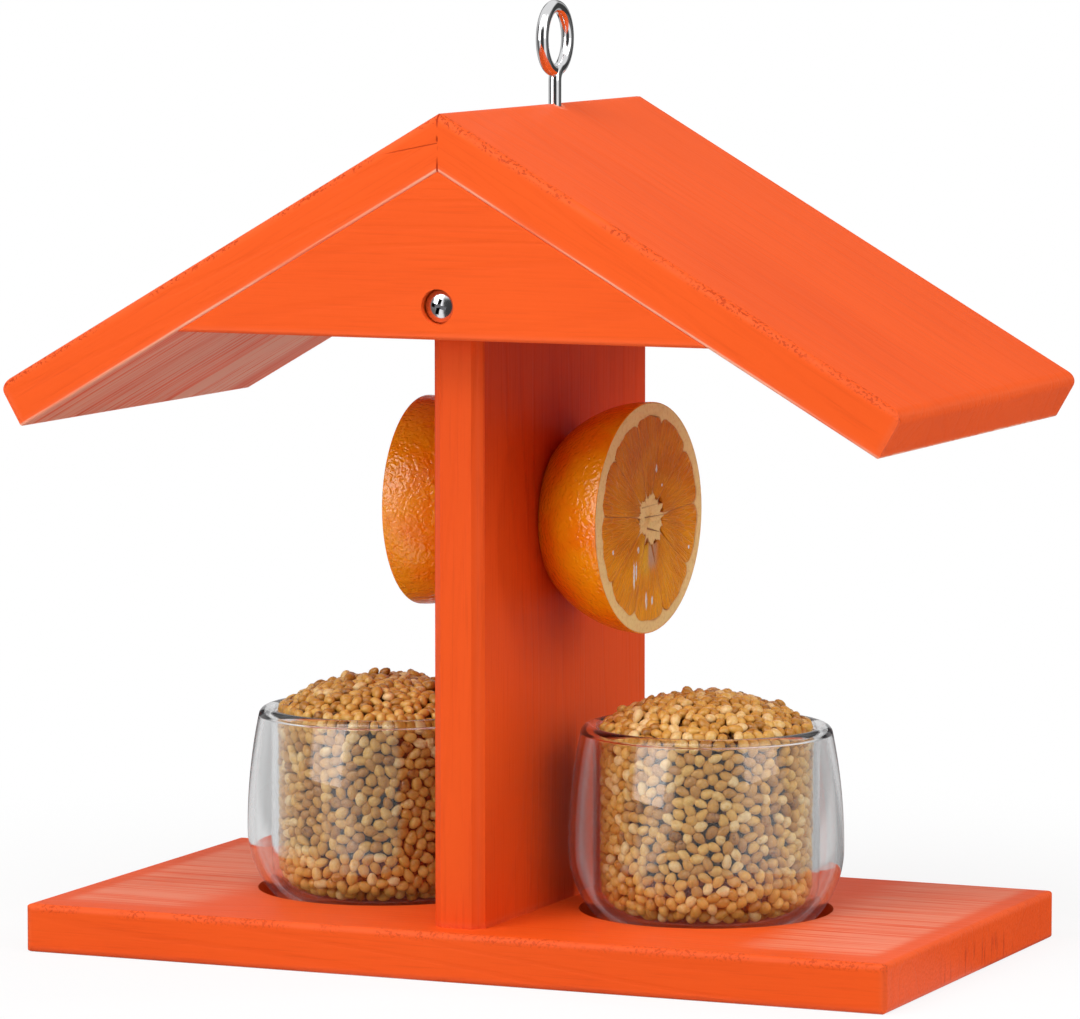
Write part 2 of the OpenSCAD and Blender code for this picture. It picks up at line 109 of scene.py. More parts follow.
def tint(tree, share, under, over):
    """The colour under, covered by the colour over in that share."""
    under, over = [mixed_paint(colour) if isinstance(colour, str) else colour for colour in (under, over)]
    made = put(tree, "ShaderNodeMix", {0: share, 6: under, 7: over}, data_type="RGBA")
    return made.outputs[2]


def stops(tree, value, levels):
    """Colours or grey levels along a value from 0 to 1; the first and last are at 0 and 1."""
    made = put(tree, "ShaderNodeValToRGB", {0: value})
    for place, level in levels:
        row = made.color_ramp.elements
        stop = row[0] if place == 0 else row[-1] if place == 1 else row.new(place)
        stop.color = mixed_paint(level) if isinstance(level, str) else grey(level)
    return made.outputs[0]


camera_data = bpy.data.cameras.new("camera")
camera_data.lens = 218.0
camera_data.sensor_width = 36.0
camera = bpy.data.objects.new("camera", camera_data)
bpy.context.scene.collection.objects.link(camera)
towards_camera = Vector((math.sin(VIEW_TURN) * math.cos(VIEW_RISE),
                         -math.cos(VIEW_TURN) * math.cos(VIEW_RISE), math.sin(VIEW_RISE)))
camera.location = VIEW_TARGET + towards_camera * VIEW_DISTANCE
camera.rotation_euler = towards_camera.to_track_quat("Z", "Y").to_euler()
bpy.context.scene.camera = camera
bpy.context.scene.view_settings.view_transform = "Standard"


def hang_softbox(name, turn, distance, height, width, tall, strength, sparkles=True):
    """A square lamp that faces the feeder. Strength is how bright its cloth is, where 1 is white."""
    lamp = bpy.data.lights.new(name, "AREA")
    lamp.shape, lamp.size, lamp.size_y = "RECTANGLE", width, tall
    lamp.energy = strength * math.pi * width * tall
    box = bpy.data.objects.new(name, lamp)
    angle = math.radians(turn)
    box.location = (math.sin(angle) * distance, -math.cos(angle) * distance, height)
    aim = box.location - Vector((0, 0, 0.12))
    box.rotation_euler = aim.to_track_quat("Z", "Y").to_euler()
    box.visible_camera = False
    box.visible_glossy = box.visible_transmission = sparkles
    bpy.context.scene.collection.objects.link(box)


hang_softbox("softbox_left", -28, 1.6, 0.95, width=1.05, tall=1.8, strength=2.6)
hang_softbox("softbox_right", 72, 1.6, 1.05, width=1.10, tall=1.7, strength=1.5)
hang_softbox("softbox_top", 0, 0.9, 1.6, width=1.4, tall=1.0, strength=3.0)
hang_softbox("strip_behind", 126, 1.6, 0.60, width=0.11, tall=1.3, strength=22.0, sparkles=False)

# Each cloth, wall or softbox round the feeder: where it starts and stops, in
# degrees off the camera to the right, and how bright gloss and glass see it.
HUNG = ((-180, -169.2, 0.6), (-165.6, -155.52, 0.05), (-151.2, -109.8, 0.55), (-104.4, -57.6, 0.15),
        (-52.2, -30.6, 1.0), (-25.2, 25.2, 0.05), (32.4, 68.4, 0.9), (73.8, 108, 0.14), (115.2, 138.6, 0.05),
        (144, 153, 0.45), (156.6, 165.6, 0.05), (169.2, 180, 0.6))


def hung_cloth(tree, x, y):
    """How bright that ring is in a direction."""
    around = calc(tree, "ARCTAN2", x, calc(tree, "MULTIPLY", y, -1.0))
    off_camera = calc(tree, "WRAP", calc(tree, "SUBTRACT", around, VIEW_TURN), math.pi, -math.pi)
    share = calc(tree, "ADD", calc(tree, "DIVIDE", off_camera, 2 * math.pi), 0.5)
    return stops(tree, share, [(end / 360 + 0.5, level) for *ends, level in HUNG for end in ends])


world = bpy.data.worlds.new("studio")
world.use_nodes = True
bpy.context.scene.world = world
sky = world.node_tree
sky.nodes.clear()
way = parts(sky, put(sky, "ShaderNodeTexCoord").outputs["Generated"])
ray = put(sky, "ShaderNodeLightPath").outputs
cloth = tint(sky, fade(sky, way[2], 0.40, 0.60), hung_cloth(sky, way[0], way[1]), grey(0.85))
seen_sky = tint(sky, ray["Is Glossy Ray"], grey(0.27), cloth)
seen_sky = tint(sky, ray["Is Transmission Ray"], seen_sky, tint(sky, 0.45, cloth, WHITE))
seen_sky = tint(sky, ray["Is Camera Ray"], seen_sky, WHITE)
put(sky, "ShaderNodeOutputWorld", {0: get(sky, "ShaderNodeBackground", {0: seen_sky, 1: 1.0})})

floor_mesh = bpy.data.meshes.new("floor")
floor_mesh.from_pydata([(-9, -9, 0), (9, -9, 0), (9, 9, 0), (-9, 9, 0)], [], [(0, 1, 2, 3)])
floor = bpy.data.objects.new("floor", floor_mesh)
bpy.context.scene.collection.objects.link(floor)
paper = bpy.data.materials.new("white_paper")
paper.use_nodes = True
sheet = paper.node_tree
sheet.nodes.clear()
place = put(sheet, "ShaderNodeTexCoord").outputs["Object"]
spot = parts(sheet, place)
reach = put(sheet, "ShaderNodeVectorMath", {0: place}, operation="LENGTH").outputs["Value"]
ray = put(sheet, "ShaderNodeLightPath").outputs
plain = get(sheet, "ShaderNodeBsdfDiffuse", {"Color": grey(0.66)})
shaded = get(sheet, "ShaderNodeBsdfDiffuse", {"Color": WHITE})
white = get(sheet, "ShaderNodeEmission", {"Color": WHITE, "Strength": 1.0})
keeps_white = calc(sheet, "SUBTRACT", 1.0, times(sheet, fade(sheet, reach, 0.42, 0.16), 0.16))
seen_paper = get(sheet, "ShaderNodeMixShader", {0: keeps_white, 1: shaded, 2: white})
cloth = hung_cloth(sheet, spot[0], spot[1])
cloth = get(sheet, "ShaderNodeEmission", {"Color": cloth, "Strength": 1.0})
through = get(sheet, "ShaderNodeMixShader", {0: 0.45, 1: cloth, 2: seen_paper})
for kind, seen in (("Is Glossy Ray", cloth), ("Is Transmission Ray", through),
                   ("Is Camera Ray", seen_paper)):
    plain = get(sheet, "ShaderNodeMixShader", {0: ray[kind], 1: plain, 2: seen})
put(sheet, "ShaderNodeOutputMaterial", {0: plain})
floor_mesh.materials.append(paper)

# Base board: one planed pine board with eased edges and two shallow round
# recesses for the cups, brushed with thin bright orange outdoor paint. The grain
# shows through, and the paint is paler and streaky near both ends of the top.
BOARD_T, BASE_HALF_L, BASE_HALF_D = 0.016, 0.150, 0.080
# The deep paint colour darkens the grain and also carries painted shade.
PAINT, PAINT_DARK_GRAIN_AND_SHADE, PAINT_PALE, PAINT_PIT = "F65C1B", "C9380C", "FAB294", "B83004"


def new_material(name):
    made = bpy.data.materials.new(name)
    made.use_nodes = True
    return made, made.node_tree, made.node_tree.nodes["Principled BSDF"]


def noise(tree, place, scale, detail=2.0, **more):
    """A cloudy value from 0 to 1."""
    inputs = {"Vector": place, "Scale": float(scale), "Detail": detail}
    inputs.update({name.title(): value for name, value in more.items()})
    return get(tree, "ShaderNodeTexNoise", inputs)


def object_place(tree):
    return put(tree, "ShaderNodeTexCoord").outputs["Object"]


def relief(tree, height, distance, strength):
    return get(tree, "ShaderNodeBump", {"Height": height, "Distance": distance, "Strength": strength})


wood = bpy.data.node_groups.new("painted_wood", "ShaderNodeTree")
for name, kind in (("Along Grain", "Vector"), ("Half Size", "Vector"), ("Pale", "Float"),
                   ("Grain Depth", "Float"), ("Crack", "Float"), ("Shade And Checks", "Float"), ("Pits", "Float")):
    wood.interface.new_socket(name, in_out="INPUT", socket_type="NodeSocket" + kind)
for name, kind in (("Color", "Color"), ("Roughness", "Float"), ("Height", "Float")):
    wood.interface.new_socket(name, in_out="OUTPUT", socket_type="NodeSocket" + kind)
given = put(wood, "NodeGroupInput").outputs


def along(stretch):
    return get(wood, "ShaderNodeVectorMath", {0: given["Along Grain"], 1: (stretch, 1, 1)},
               operation="MULTIPLY")


fibre = noise(wood, along(0.03), 1050, 3.0, roughness=0.6)
streak = noise(wood, along(0.03), 560, 3.0, roughness=0.55)
ring = fade(wood, calc(wood, "SINE", times(wood, noise(wood, along(0.10), 26, 1.0), 70.0)), 0.55, 1.0)
blotch = noise(wood, along(0.4), 14)
grit = noise(wood, given["Along Grain"], 1000, 1.0)
thick_in = noise(wood, given["Along Grain"], 60)
inward = get(wood, "ShaderNodeVectorMath", {0: given["Along Grain"]}, operation="ABSOLUTE")
inward = get(wood, "ShaderNodeVectorMath", {0: given["Half Size"], 1: inward}, operation="SUBTRACT")
inward = parts(wood, inward)
nearer = calc(wood, "MINIMUM", inward[1], inward[2])
farther = calc(wood, "MAXIMUM", inward[1], inward[2])
edge = fade(wood, calc(wood, "MAXIMUM", nearer, calc(wood, "MINIMUM", farther, inward[0])), 0.0028, 0.0008)
end_grain = fade(wood, inward[0], 0.0012, 0.0004)
dark = times(wood, fade(wood, fibre, 0.50, 0.78), 0.24)
dark = calc(wood, "ADD", dark, times(wood, ring, 0.05))
dark = calc(wood, "ADD", dark, times(wood, fade(wood, blotch, 0.42, 0.75), 0.18))
dark = calc(wood, "ADD", dark, times(wood, end_grain, fade(wood, grit, 0.42, 0.65), 0.12))
# Painted shade, and the base's red end checks, are added here on top of the darker grain.
dark = calc(wood, "ADD", times(wood, dark, given["Grain Depth"]), given["Shade And Checks"], clamp=True)
pale = times(wood, given["Pale"], fade(wood, streak, 0.30, 0.62))
pale = calc(wood, "ADD", pale, times(wood, edge, 0.05), clamp=True)
pit = times(wood, fade(wood, grit, 0.50, 0.62), fade(wood, thick_in, 0.36, 0.54), given["Pits"])
pit = calc(wood, "MAXIMUM", pit, given["Crack"])
painted = tint(wood, dark, PAINT, PAINT_DARK_GRAIN_AND_SHADE)
painted = tint(wood, pale, painted, PAINT_PALE)
painted = tint(wood, pit, painted, PAINT_PIT)
rough = calc(wood, "ADD", 0.40, times(wood, fibre, 0.16))
high = calc(wood, "ADD", times(wood, fibre, -0.5), times(wood, ring, -0.3))
high = calc(wood, "SUBTRACT", high, pit)
high = calc(wood, "SUBTRACT", high, times(wood, end_grain, grit))
put(wood, "NodeGroupOutput", {"Color": painted, "Roughness": rough, "Height": high})


def paint_board(node, turn, shift, half_size, grain_depth=1.0, pale=None, crack=None, deep=None, pits=None):
    """Paints one board. Turn and shift bring its grain along X with its middle at the origin."""
    made, tree, shader = new_material("paint_" + node)
    place = object_place(tree)
    laid = get(tree, "ShaderNodeMapping", {"Vector": place, "Location": shift, "Rotation": turn})
    at = parts(tree, place)
    look = {"Along Grain": laid, "Half Size": half_size, "Grain Depth": grain_depth}
    # The deep argument carries painted shade, and on the base also its red end checks.
    for name, where in (("Pale", pale), ("Crack", crack), ("Shade And Checks", deep), ("Pits", pits)):
        look[name] = where(tree, at) if where else 0.0
    look = put(tree, "ShaderNodeGroup", look, node_tree=wood).outputs
    feed(tree, shader, {"Base Color": look["Color"], "Roughness": look["Roughness"],
                        "Specular IOR Level": 0.12, "Normal": relief(tree, look["Height"], 0.00022, 0.8)})
    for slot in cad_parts[node].material_slots:
        slot.material = made


def away(tree, value, middle=0.0):
    """How far a value is from a middle, on either side."""
    return calc(tree, "ABSOLUTE", calc(tree, "SUBTRACT", value, middle))


def thin_coat_at_ends(tree, at):
    """Thin paint on the top, from the cups outwards, but not along the front edge and the ends."""
    out = away(tree, at[0])
    end = fade(tree, out, BASE_HALF_L - 0.0060, BASE_HALF_L - 0.0115)
    back = fade(tree, at[1], 0.008 - BASE_HALF_D, 0.020 - BASE_HALF_D)
    up = fade(tree, at[2], BOARD_T - 0.0010, BOARD_T - 0.0002)
    return times(tree, fade(tree, out, 0.090, 0.108), end, back, up, 0.46)


def shade_and_checks(tree, at):
    """Painted shade on the sides of the board below the top, and red checks in the end grain on the right.
    """
    # Painted shade: the sides below the top are a little darker.
    side_shade = times(tree, fade(tree, at[2], BOARD_T - 0.0002, BOARD_T - 0.0015), 0.10)
    upright = get(tree, "ShaderNodeCombineXYZ", {1: at[1], 2: times(tree, at[2], 0.10)})
    check = times(tree, fade(tree, noise(tree, upright, 520), 0.56, 0.68), fade(tree, at[2], 0.0125, 0.0070),
                  fade(tree, away(tree, at[1], 0.005), 0.040, 0.030),
                  fade(tree, at[0], BASE_HALF_L - 0.0020, BASE_HALF_L - 0.0008), 0.65)
    return calc(tree, "ADD", side_shade, check)


def rough_front(tree, at):
    """Fine pits in the paint along the front edge of the top."""
    return times(tree, fade(tree, at[1], 0.0035 - BASE_HALF_D, 0.0015 - BASE_HALF_D),
                 fade(tree, at[2], BOARD_T - 0.0035, BOARD_T - 0.0015), 0.45)


paint_board("base_board", (0, 0, 0), (0, 0, -BOARD_T / 2), (BASE_HALF_L, BASE_HALF_D, BOARD_T / 2),
            pale=thin_coat_at_ends, deep=shade_and_checks, pits=rough_front)

# Post: a wide pine board on end with chamfered upright edges, painted like the base,
# with painted shade darkening it all over, most on its wide faces near the top under
# the roof. Its grain runs upwards, and it is screwed through the base from below.
POST_T, POST_HALF_W, POST_HALF_H, POST_MIDDLE_Z = 0.0174, 0.070, 0.121, 0.137


def post_shade(tree, at):
    """Painted shade over the whole post, deeper on the wide faces and deepest near the top, under the roof.
    """
    wide_face = fade(tree, away(tree, at[0]), POST_T / 2 - 0.0007, POST_T / 2 - 0.0001)
    # Painted shade that grows toward the top of the wide faces.
    top_shade = calc(tree, "SUBTRACT", times(tree, fade(tree, at[2], 0.05, 0.20), 0.56), 0.08)
    return calc(tree, "ADD", 0.22, times(tree, wide_face, top_shade))


paint_board("post_board", (0, math.radians(90), 0), (-POST_MIDDLE_Z, 0, 0),
            (POST_HALF_H, POST_HALF_W, POST_T / 2), 0.9, deep=post_shade)

# Roof: two sloping pine boards mitred at the ridge, with their grain down the
# slope. The paint underneath is thin and shows paler bands of bare grain, made paler
# still as painted sheen; the eye's drilled hole has a few pale chips round it.
ROOF_PITCH, ROOF_HALF_L, ROOF_HALF_D, RIDGE_Z, EYE_Y = math.radians(30), 0.09007, 0.084, 0.277, 0.010
UNDER_RIDGE_Z = RIDGE_Z - BOARD_T / math.cos(ROOF_PITCH)
UNDER_SHEEN_BANDS = ((0, 0.5), (0.07, 0.5), (0.08, 0.95), (0.145, 0.9), (0.155, 0.55), (0.40, 0.65),
               (0.615, 0.45), (0.625, 0.1), (0.635, 1.0), (0.865, 1.0), (0.875, 0.3), (1, 0.4))


def slid_to_ridge(tree, at):
    """The height of a point that is slid up the slope to the ridge, which tells top from underside."""
    return calc(tree, "ADD", times(tree, away(tree, at[0]), math.tan(ROOF_PITCH)), at[2])


def chips_and_sheen_bands(tree, at):
    """Pale chips round the eye, and pale bands down the slope on the underside, paler toward the back,
    partly thin paint and partly painted sheen.
    """
    behind_eye = calc(tree, "SUBTRACT", at[1], EYE_Y)
    from_eye = get(tree, "ShaderNodeCombineXYZ", {0: at[0], 1: behind_eye})
    off = put(tree, "ShaderNodeVectorMath", {0: from_eye}, operation="LENGTH").outputs["Value"]
    chip = times(tree, fade(tree, off, 0.0048, 0.0025), fade(tree, noise(tree, from_eye, 900), 0.48, 0.58),
                 fade(tree, at[2], RIDGE_Z - 0.009, RIDGE_Z - 0.007))
    across = calc(tree, "DIVIDE", calc(tree, "ADD", at[1], ROOF_HALF_D), 2 * ROOF_HALF_D)
    # The pale bands on the underside are partly thin paint and partly painted sheen.
    under = fade(tree, slid_to_ridge(tree, at), UNDER_RIDGE_Z + 0.0015, UNDER_RIDGE_Z + 0.0007)
    return calc(tree, "MAXIMUM", times(tree, under, stops(tree, across, UNDER_SHEEN_BANDS), 1.8), chip)


def ridge_joint(tree, at):
    """The open joint between the two roof boards, a thin dark line that comes and goes."""
    gape = fade(tree, noise(tree, object_place(tree), 130), 0.46, 0.54)
    return times(tree, gape, fade(tree, away(tree, at[0]), 0.00042, 0.00018))


def ridge_joint_and_crack(tree, at):
    """The joint, and a hair crack that runs from it along the front of the left board."""
    slope = calc(tree, "ADD", times(tree, at[0], 0.205), RIDGE_Z - 0.0095)
    crack = times(tree, fade(tree, away(tree, at[2], slope), 0.00028, 0.00008),
                  fade(tree, at[0], -0.022, -0.012),
                  fade(tree, at[1], 0.0010 - ROOF_HALF_D, 0.0004 - ROOF_HALF_D), 0.7)
    return calc(tree, "MAXIMUM", crack, ridge_joint(tree, at))


def rough_roof_edge(tree, at):
    """Fine pits in the paint along the front edge of the top."""
    return times(tree, fade(tree, at[1], 0.0040 - ROOF_HALF_D, 0.0022 - ROOF_HALF_D),
                 fade(tree, slid_to_ridge(tree, at), RIDGE_Z - 0.0035, RIDGE_Z - 0.0015), 0.65)


for end, turn, side, crack in (("right", -ROOF_PITCH, 1, ridge_joint),
                               ("left", math.pi + ROOF_PITCH, -1, ridge_joint_and_crack)):
    down_slope, off_board = RIDGE_Z * math.sin(ROOF_PITCH), RIDGE_Z * math.cos(ROOF_PITCH)
    shift = (down_slope - ROOF_HALF_L, 0, side * (BOARD_T / 2 - off_board))
    paint_board("roof_board_" + end, (0, turn, 0), shift, (ROOF_HALF_L, ROOF_HALF_D, BOARD_T / 2), 0.8,
                pale=chips_and_sheen_bands, crack=crack, pits=rough_roof_edge)

# Gables: two pine triangles under the ends of the roof, painted, with their
# grain level. Wire brads through the roof and a screw into the post hold them.
GABLE_MIDDLE_Y, GABLE_MIDDLE_Z, GABLE_HALF_T, GABLE_HALF_H = 0.077, 0.250, 0.007, 0.0445
for end, side, along_log, half_l in (("front", 1, 0, 0.130), ("back", -1, 0.37, 0.500)):
    paint_board("gable_" + end, (0, 0, 0), (along_log, side * GABLE_MIDDLE_Y, -GABLE_MIDDLE_Z),
                (half_l, GABLE_HALF_T, GABLE_HALF_H), 0.7)

# Fasteners: zinc-plated steel screws, brads and the spike that holds the fruit.
# The pan heads sit in counterbores in the gables and are polished, with painted shade
# darkening the cross recess and the rim; the rest is plainer and mostly out of sight in the wood.
CROWN_R, CROWN_MIDDLE_Y, GABLE_SCREW_Z = 0.009, 0.0741, 0.216


def plate_metal(name, bright, rough, nodes=()):
    made, tree, shader = new_material(name)
    place = object_place(tree)
    wash = noise(tree, place, 90)
    rub = noise(tree, place, 420, 3.0)
    dull = (*[c * 0.82 for c in bright[:3]], 1)
    feed(tree, shader, {"Base Color": tint(tree, times(tree, wash, 0.5), bright, dull), "Metallic": 1.0,
                        "Roughness": calc(tree, "ADD", rough, times(tree, rub, 0.06)),
                        "Normal": relief(tree, wash, 0.00004, 0.35)})
    for node in nodes:
        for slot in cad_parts[node].material_slots:
            slot.material = made
    return made


pan_head = plate_metal("pan_head_steel", (0.84, 0.84, 0.86, 1), 0.13,
                       ["gable_screw_front", "gable_screw_back"])
tree = pan_head.node_tree
shader = tree.nodes["Principled BSDF"]
steel = shader.inputs["Base Color"].links[0].from_socket
at = parts(tree, object_place(tree))
from_middle = get(tree, "ShaderNodeCombineXYZ", {
    0: at[0], 1: calc(tree, "SUBTRACT", away(tree, at[1]), CROWN_MIDDLE_Y),
    2: calc(tree, "SUBTRACT", at[2], GABLE_SCREW_Z)})
from_middle = put(tree, "ShaderNodeVectorMath", {0: from_middle}, operation="LENGTH").outputs["Value"]
# Painted shade: near black inside the cross recess and down the rim of the head.
cross_and_rim_shade = times(tree, fade(tree, from_middle, CROWN_R - 0.00010, CROWN_R - 0.00032), 0.92)
feed(tree, shader, {"Base Color": tint(tree, cross_and_rim_shade, steel, (0.03, 0.03, 0.035, 1))})
plate_metal("zinc_plate", (0.66, 0.68, 0.70, 1), 0.24, ["base_screws", "roof_brads", "fruit_spike"])

# Eye screw: one chrome-plated steel wire. Its shank goes down through the ridge
# into the post, bends back, and runs on as a ring whose end meets the shank.
WIRE_R, RING_R, BEND_R, WIRE_SIDES = 0.0021, 0.0105, 0.004, 48
EYE_Z, EYE_TIP_Z, TIP_L, RING_END = 0.298, 0.232, 0.0084, math.radians(260)


def piece(name, verts, faces, material):
    mesh = bpy.data.meshes.new(name)
    mesh.from_pydata([tuple(v) for v in verts], [], [tuple(int(i) for i in f) for f in faces])
    mesh.materials.append(material)
    mesh.polygons.foreach_set("use_smooth", [True] * len(mesh.polygons))
    made = bpy.data.objects.new(name, mesh)
    bpy.context.scene.collection.objects.link(made)
    return made


def grid_faces(rows, around, closed=True):
    """Faces between neighbouring rows of points, each row running round the same way."""
    faces = []
    for i in range(rows - 1):
        for k in range(around if closed else around - 1):
            a, b = i * around + k, i * around + (k + 1) % around
            faces.append((a, b, b + around, a + around))
    return faces


def face_outwards(made, merge=0.0):
    """Makes points that are closer than merge one, then turns every face outwards."""
    shape = bmesh.new()
    shape.from_mesh(made.data)
    if merge:
        bmesh.ops.remove_doubles(shape, verts=shape.verts, dist=merge)
    bmesh.ops.recalc_face_normals(shape, faces=shape.faces)
    shape.to_mesh(made.data)
    shape.free()


bend_z = EYE_Z - math.sqrt(RING_R ** 2 + 2 * RING_R * BEND_R)
bend_turn = math.acos(BEND_R / (RING_R + BEND_R))
wire_path = [(0.0, EYE_TIP_Z + TIP_L + (bend_z - EYE_TIP_Z - TIP_L) * i / 30) for i in range(31)]
wire_path += [(BEND_R - BEND_R * math.cos(a), bend_z + BEND_R * math.sin(a))
              for a in [bend_turn * i / 24 for i in range(1, 25)]]
wire_path += [(RING_R * math.cos(a), EYE_Z + RING_R * math.sin(a))
              for a in [-bend_turn + (RING_END + bend_turn) * i / 150 for i in range(1, 151)]]
wire_path = np.array(wire_path)
wire_way = np.gradient(wire_path, axis=0)
wire_way /= np.linalg.norm(wire_way, axis=1)[:, None]
rows = [(wire_path[0] - (0, below), wire_way[0], r) for below, r in ((TIP_L, 0.00015), (0.0075, 0.00035))]
rows += [(p, w, WIRE_R) for p, w in zip(wire_path, wire_way)]
rows += [(wire_path[-1] + wire_way[-1] * past, wire_way[-1], WIRE_R - less)
         for past, less in ((0.00010, 0.00003), (0.00020, 0.00012), (0.00026, 0.0004), (0.00028, 0.0019))]
verts = []
for middle, way, radius in rows:
    for k in range(WIRE_SIDES):
        a = 2 * math.pi * k / WIRE_SIDES
        side, up = radius * math.cos(a), radius * math.sin(a)
        verts.append((side, EYE_Y + middle[0] - up * way[1], middle[1] + up * way[0]))
faces = grid_faces(len(rows), WIRE_SIDES)
faces += [tuple(range(WIRE_SIDES))[::-1], tuple(range(len(verts) - WIRE_SIDES, len(verts)))]
eye = piece("eye_screw_wire", verts, faces, plate_metal("polished_steel", (0.86, 0.86, 0.87, 1), 0.06))
face_outwards(eye)
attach(eye, "root")
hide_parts("eye_screw")

# Cups: two double-walled blown glass bowls with a thin dusty film. The outer wall
# swells to a belly and the bowl inside is straight, with air between them and a
# small vent below. They stand loose in the recesses of the base.
CUP_X, FOOT_Z, RIM_Z, BELLY_Z = 0.058, 0.008, 0.0765, 0.036
BORE_R, BOWL_Z, CORNER_R, BELLY_R, WALL = 0.035, 0.0146, 0.010, 0.0449, 0.002
IN_AT_RIM, IN_AT_FOOT, VENT_R, EASE = 0.0044, 0.0161, 0.0015, 0.0003


def bow(middle, radius, start, stop, steps):
    """Points on an arc of a half section, as radius and height."""
    return [(middle[0] + radius * math.cos(math.radians(a)), middle[1] + radius * math.sin(math.radians(a)))
            for a in np.linspace(start, stop, steps)]


def cup_section():
    """Half a section: up the bowl, over the rim, down to the foot, and back up round the air space."""
    rise, drop = RIM_Z - BELLY_Z, BELLY_Z - FOOT_Z
    upper, lower = [(h ** 2 + w ** 2) / (2 * w) for h, w in ((rise, IN_AT_RIM), (drop, IN_AT_FOOT))]
    upper_mid, lower_mid = (BELLY_R - upper, BELLY_Z), (BELLY_R - lower, BELLY_Z)
    reach = BORE_R - upper_mid[0]
    total = reach - rise + upper
    bead = math.sqrt(total ** 2 - reach ** 2 - rise ** 2 + upper ** 2) - total
    bead_mid = (BORE_R + bead, RIM_Z - bead)
    lean = math.degrees(math.atan2(bead_mid[1] - BELLY_Z, bead_mid[0] - upper_mid[0]))
    foot_turn = math.degrees(math.asin(drop / lower))
    foot_r = lower_mid[0] + lower * math.cos(math.radians(foot_turn))
    line = [(0.0, BOWL_Z), (0.008, BOWL_Z), (0.016, BOWL_Z)]
    line += bow((BORE_R - CORNER_R, BOWL_Z + CORNER_R), CORNER_R, -90, 0, 14)
    line += [(BORE_R, z) for z in np.linspace(BOWL_Z + CORNER_R, bead_mid[1], 16)[1:-1]]
    line += bow(bead_mid, bead, 180, lean, 22)
    line += bow(upper_mid, upper, lean, 0, 26)[1:]
    line += bow(lower_mid, lower, 0, -foot_turn, 26)[1:-1]
    line += [(foot_r + 0.0001, FOOT_Z + 0.0004), (foot_r - 0.0004, FOOT_Z), (0.022, FOOT_Z), (0.010, FOOT_Z)]

    air_top, outer_bend, inner_bend = RIM_Z - 0.0028, 0.0008, 0.0006
    upper, lower = upper - WALL, lower - WALL
    top_turn = math.degrees(math.asin((air_top - outer_bend - BELLY_Z) / upper))
    low_turn = math.degrees(math.asin((drop - WALL) / lower))
    top_r = upper_mid[0] + upper * math.cos(math.radians(top_turn))
    bowl_r, bowl_bend, bowl_z = BORE_R + WALL, CORNER_R + WALL, BOWL_Z - WALL
    line += [(VENT_R + EASE, FOOT_Z), (VENT_R, FOOT_Z + EASE), (VENT_R, FOOT_Z + WALL - EASE)]
    line += [(VENT_R + EASE, FOOT_Z + WALL), (0.012, FOOT_Z + WALL)]
    line += bow(lower_mid, lower, -low_turn, 0, 24)
    line += bow(upper_mid, upper, 0, top_turn, 24)[1:]
    line += bow((top_r - outer_bend, air_top - outer_bend), outer_bend, 20, 90, 5)
    line += bow((bowl_r + inner_bend, air_top - inner_bend), inner_bend, 90, 180, 5)
    line += [(bowl_r, z) for z in np.linspace(air_top - inner_bend, bowl_z + bowl_bend, 14)[1:-1]]
    line += bow((bowl_r - bowl_bend, bowl_z + bowl_bend), bowl_bend, 0, -90, 14)
    return line + [(0.016, bowl_z), (0.008, bowl_z), (0.0, bowl_z)]


def turned(line, middle_x, around):
    """Turns a half section round an upright axis; its two ends lie on the axis."""
    verts = [(middle_x, 0.0, line[0][1])]
    for r, z in line[1:-1]:
        for k in range(around):
            a = 2 * math.pi * k / around
            verts.append((middle_x + r * math.cos(a), r * math.sin(a), z))
    last = len(verts)
    verts.append((middle_x, 0.0, line[-1][1]))
    faces = [tuple(v + 1 for v in f) for f in grid_faces(len(line) - 2, around)]
    for k in range(around):
        after = (k + 1) % around
        faces.append((0, 1 + after, 1 + k))
        faces.append((last, last - around + k, last - around + after))
    return verts, faces


clear_glass, tree, shader = new_material("clear_glass")
place = object_place(tree)
feed(tree, shader, {
    "Base Color": (0.985, 0.99, 0.99, 1), "Transmission Weight": 1.0, "IOR": 1.47,
    "Sheen Weight": 0.20, "Sheen Roughness": 0.30, "Sheen Tint": (0.93, 0.88, 0.96, 1),
    "Roughness": times(tree, noise(tree, place, 240, 3.0), 0.015),
    "Normal": relief(tree, noise(tree, place, 55, 1.0), 0.00010, 0.5)})
lets_lamps = get(tree, "ShaderNodeBsdfTransparent", {"Color": (0.97, 0.97, 0.97, 1)})
ray = put(tree, "ShaderNodeLightPath").outputs
through = put(tree, "ShaderNodeMixShader", {0: ray["Is Shadow Ray"], 1: shader.outputs[0], 2: lets_lamps})
feed(tree, tree.nodes["Material Output"], {"Surface": through.outputs[0]})

for side, end in ((-1, "left"), (1, "right")):
    verts, faces = turned(cup_section(), side * CUP_X, 160)
    cup = piece("glass_cup_" + end, verts, faces, clear_glass)
    face_outwards(cup)
    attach(cup, "root")
    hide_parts("cup_" + end)

# Seed: over a thousand tan grains in each cup lie against the glass and heap above
# the rim, with near-black grains and a near-black core behind them as painted shade
# in the gaps. Points settle side by side on the bowl's shape, and each carries one
# egg-shaped grain in its own size, turn and tone. The sizes are millimetres.
GRAIN_L, GRAIN_W, GRAIN_T = 4.9, 3.5, 3.1
SEED_R, SEED_LOW, SEED_EDGE, SEED_TOP, SEED_BEND_R = 34.9, 14.85, 76.6, 87.4, 10.0
GOLDEN_TURN = 2.399963


def carried(tree, name):
    """A value that the points of a piece carry."""
    return put(tree, "ShaderNodeAttribute", attribute_name=name).outputs["Fac"]


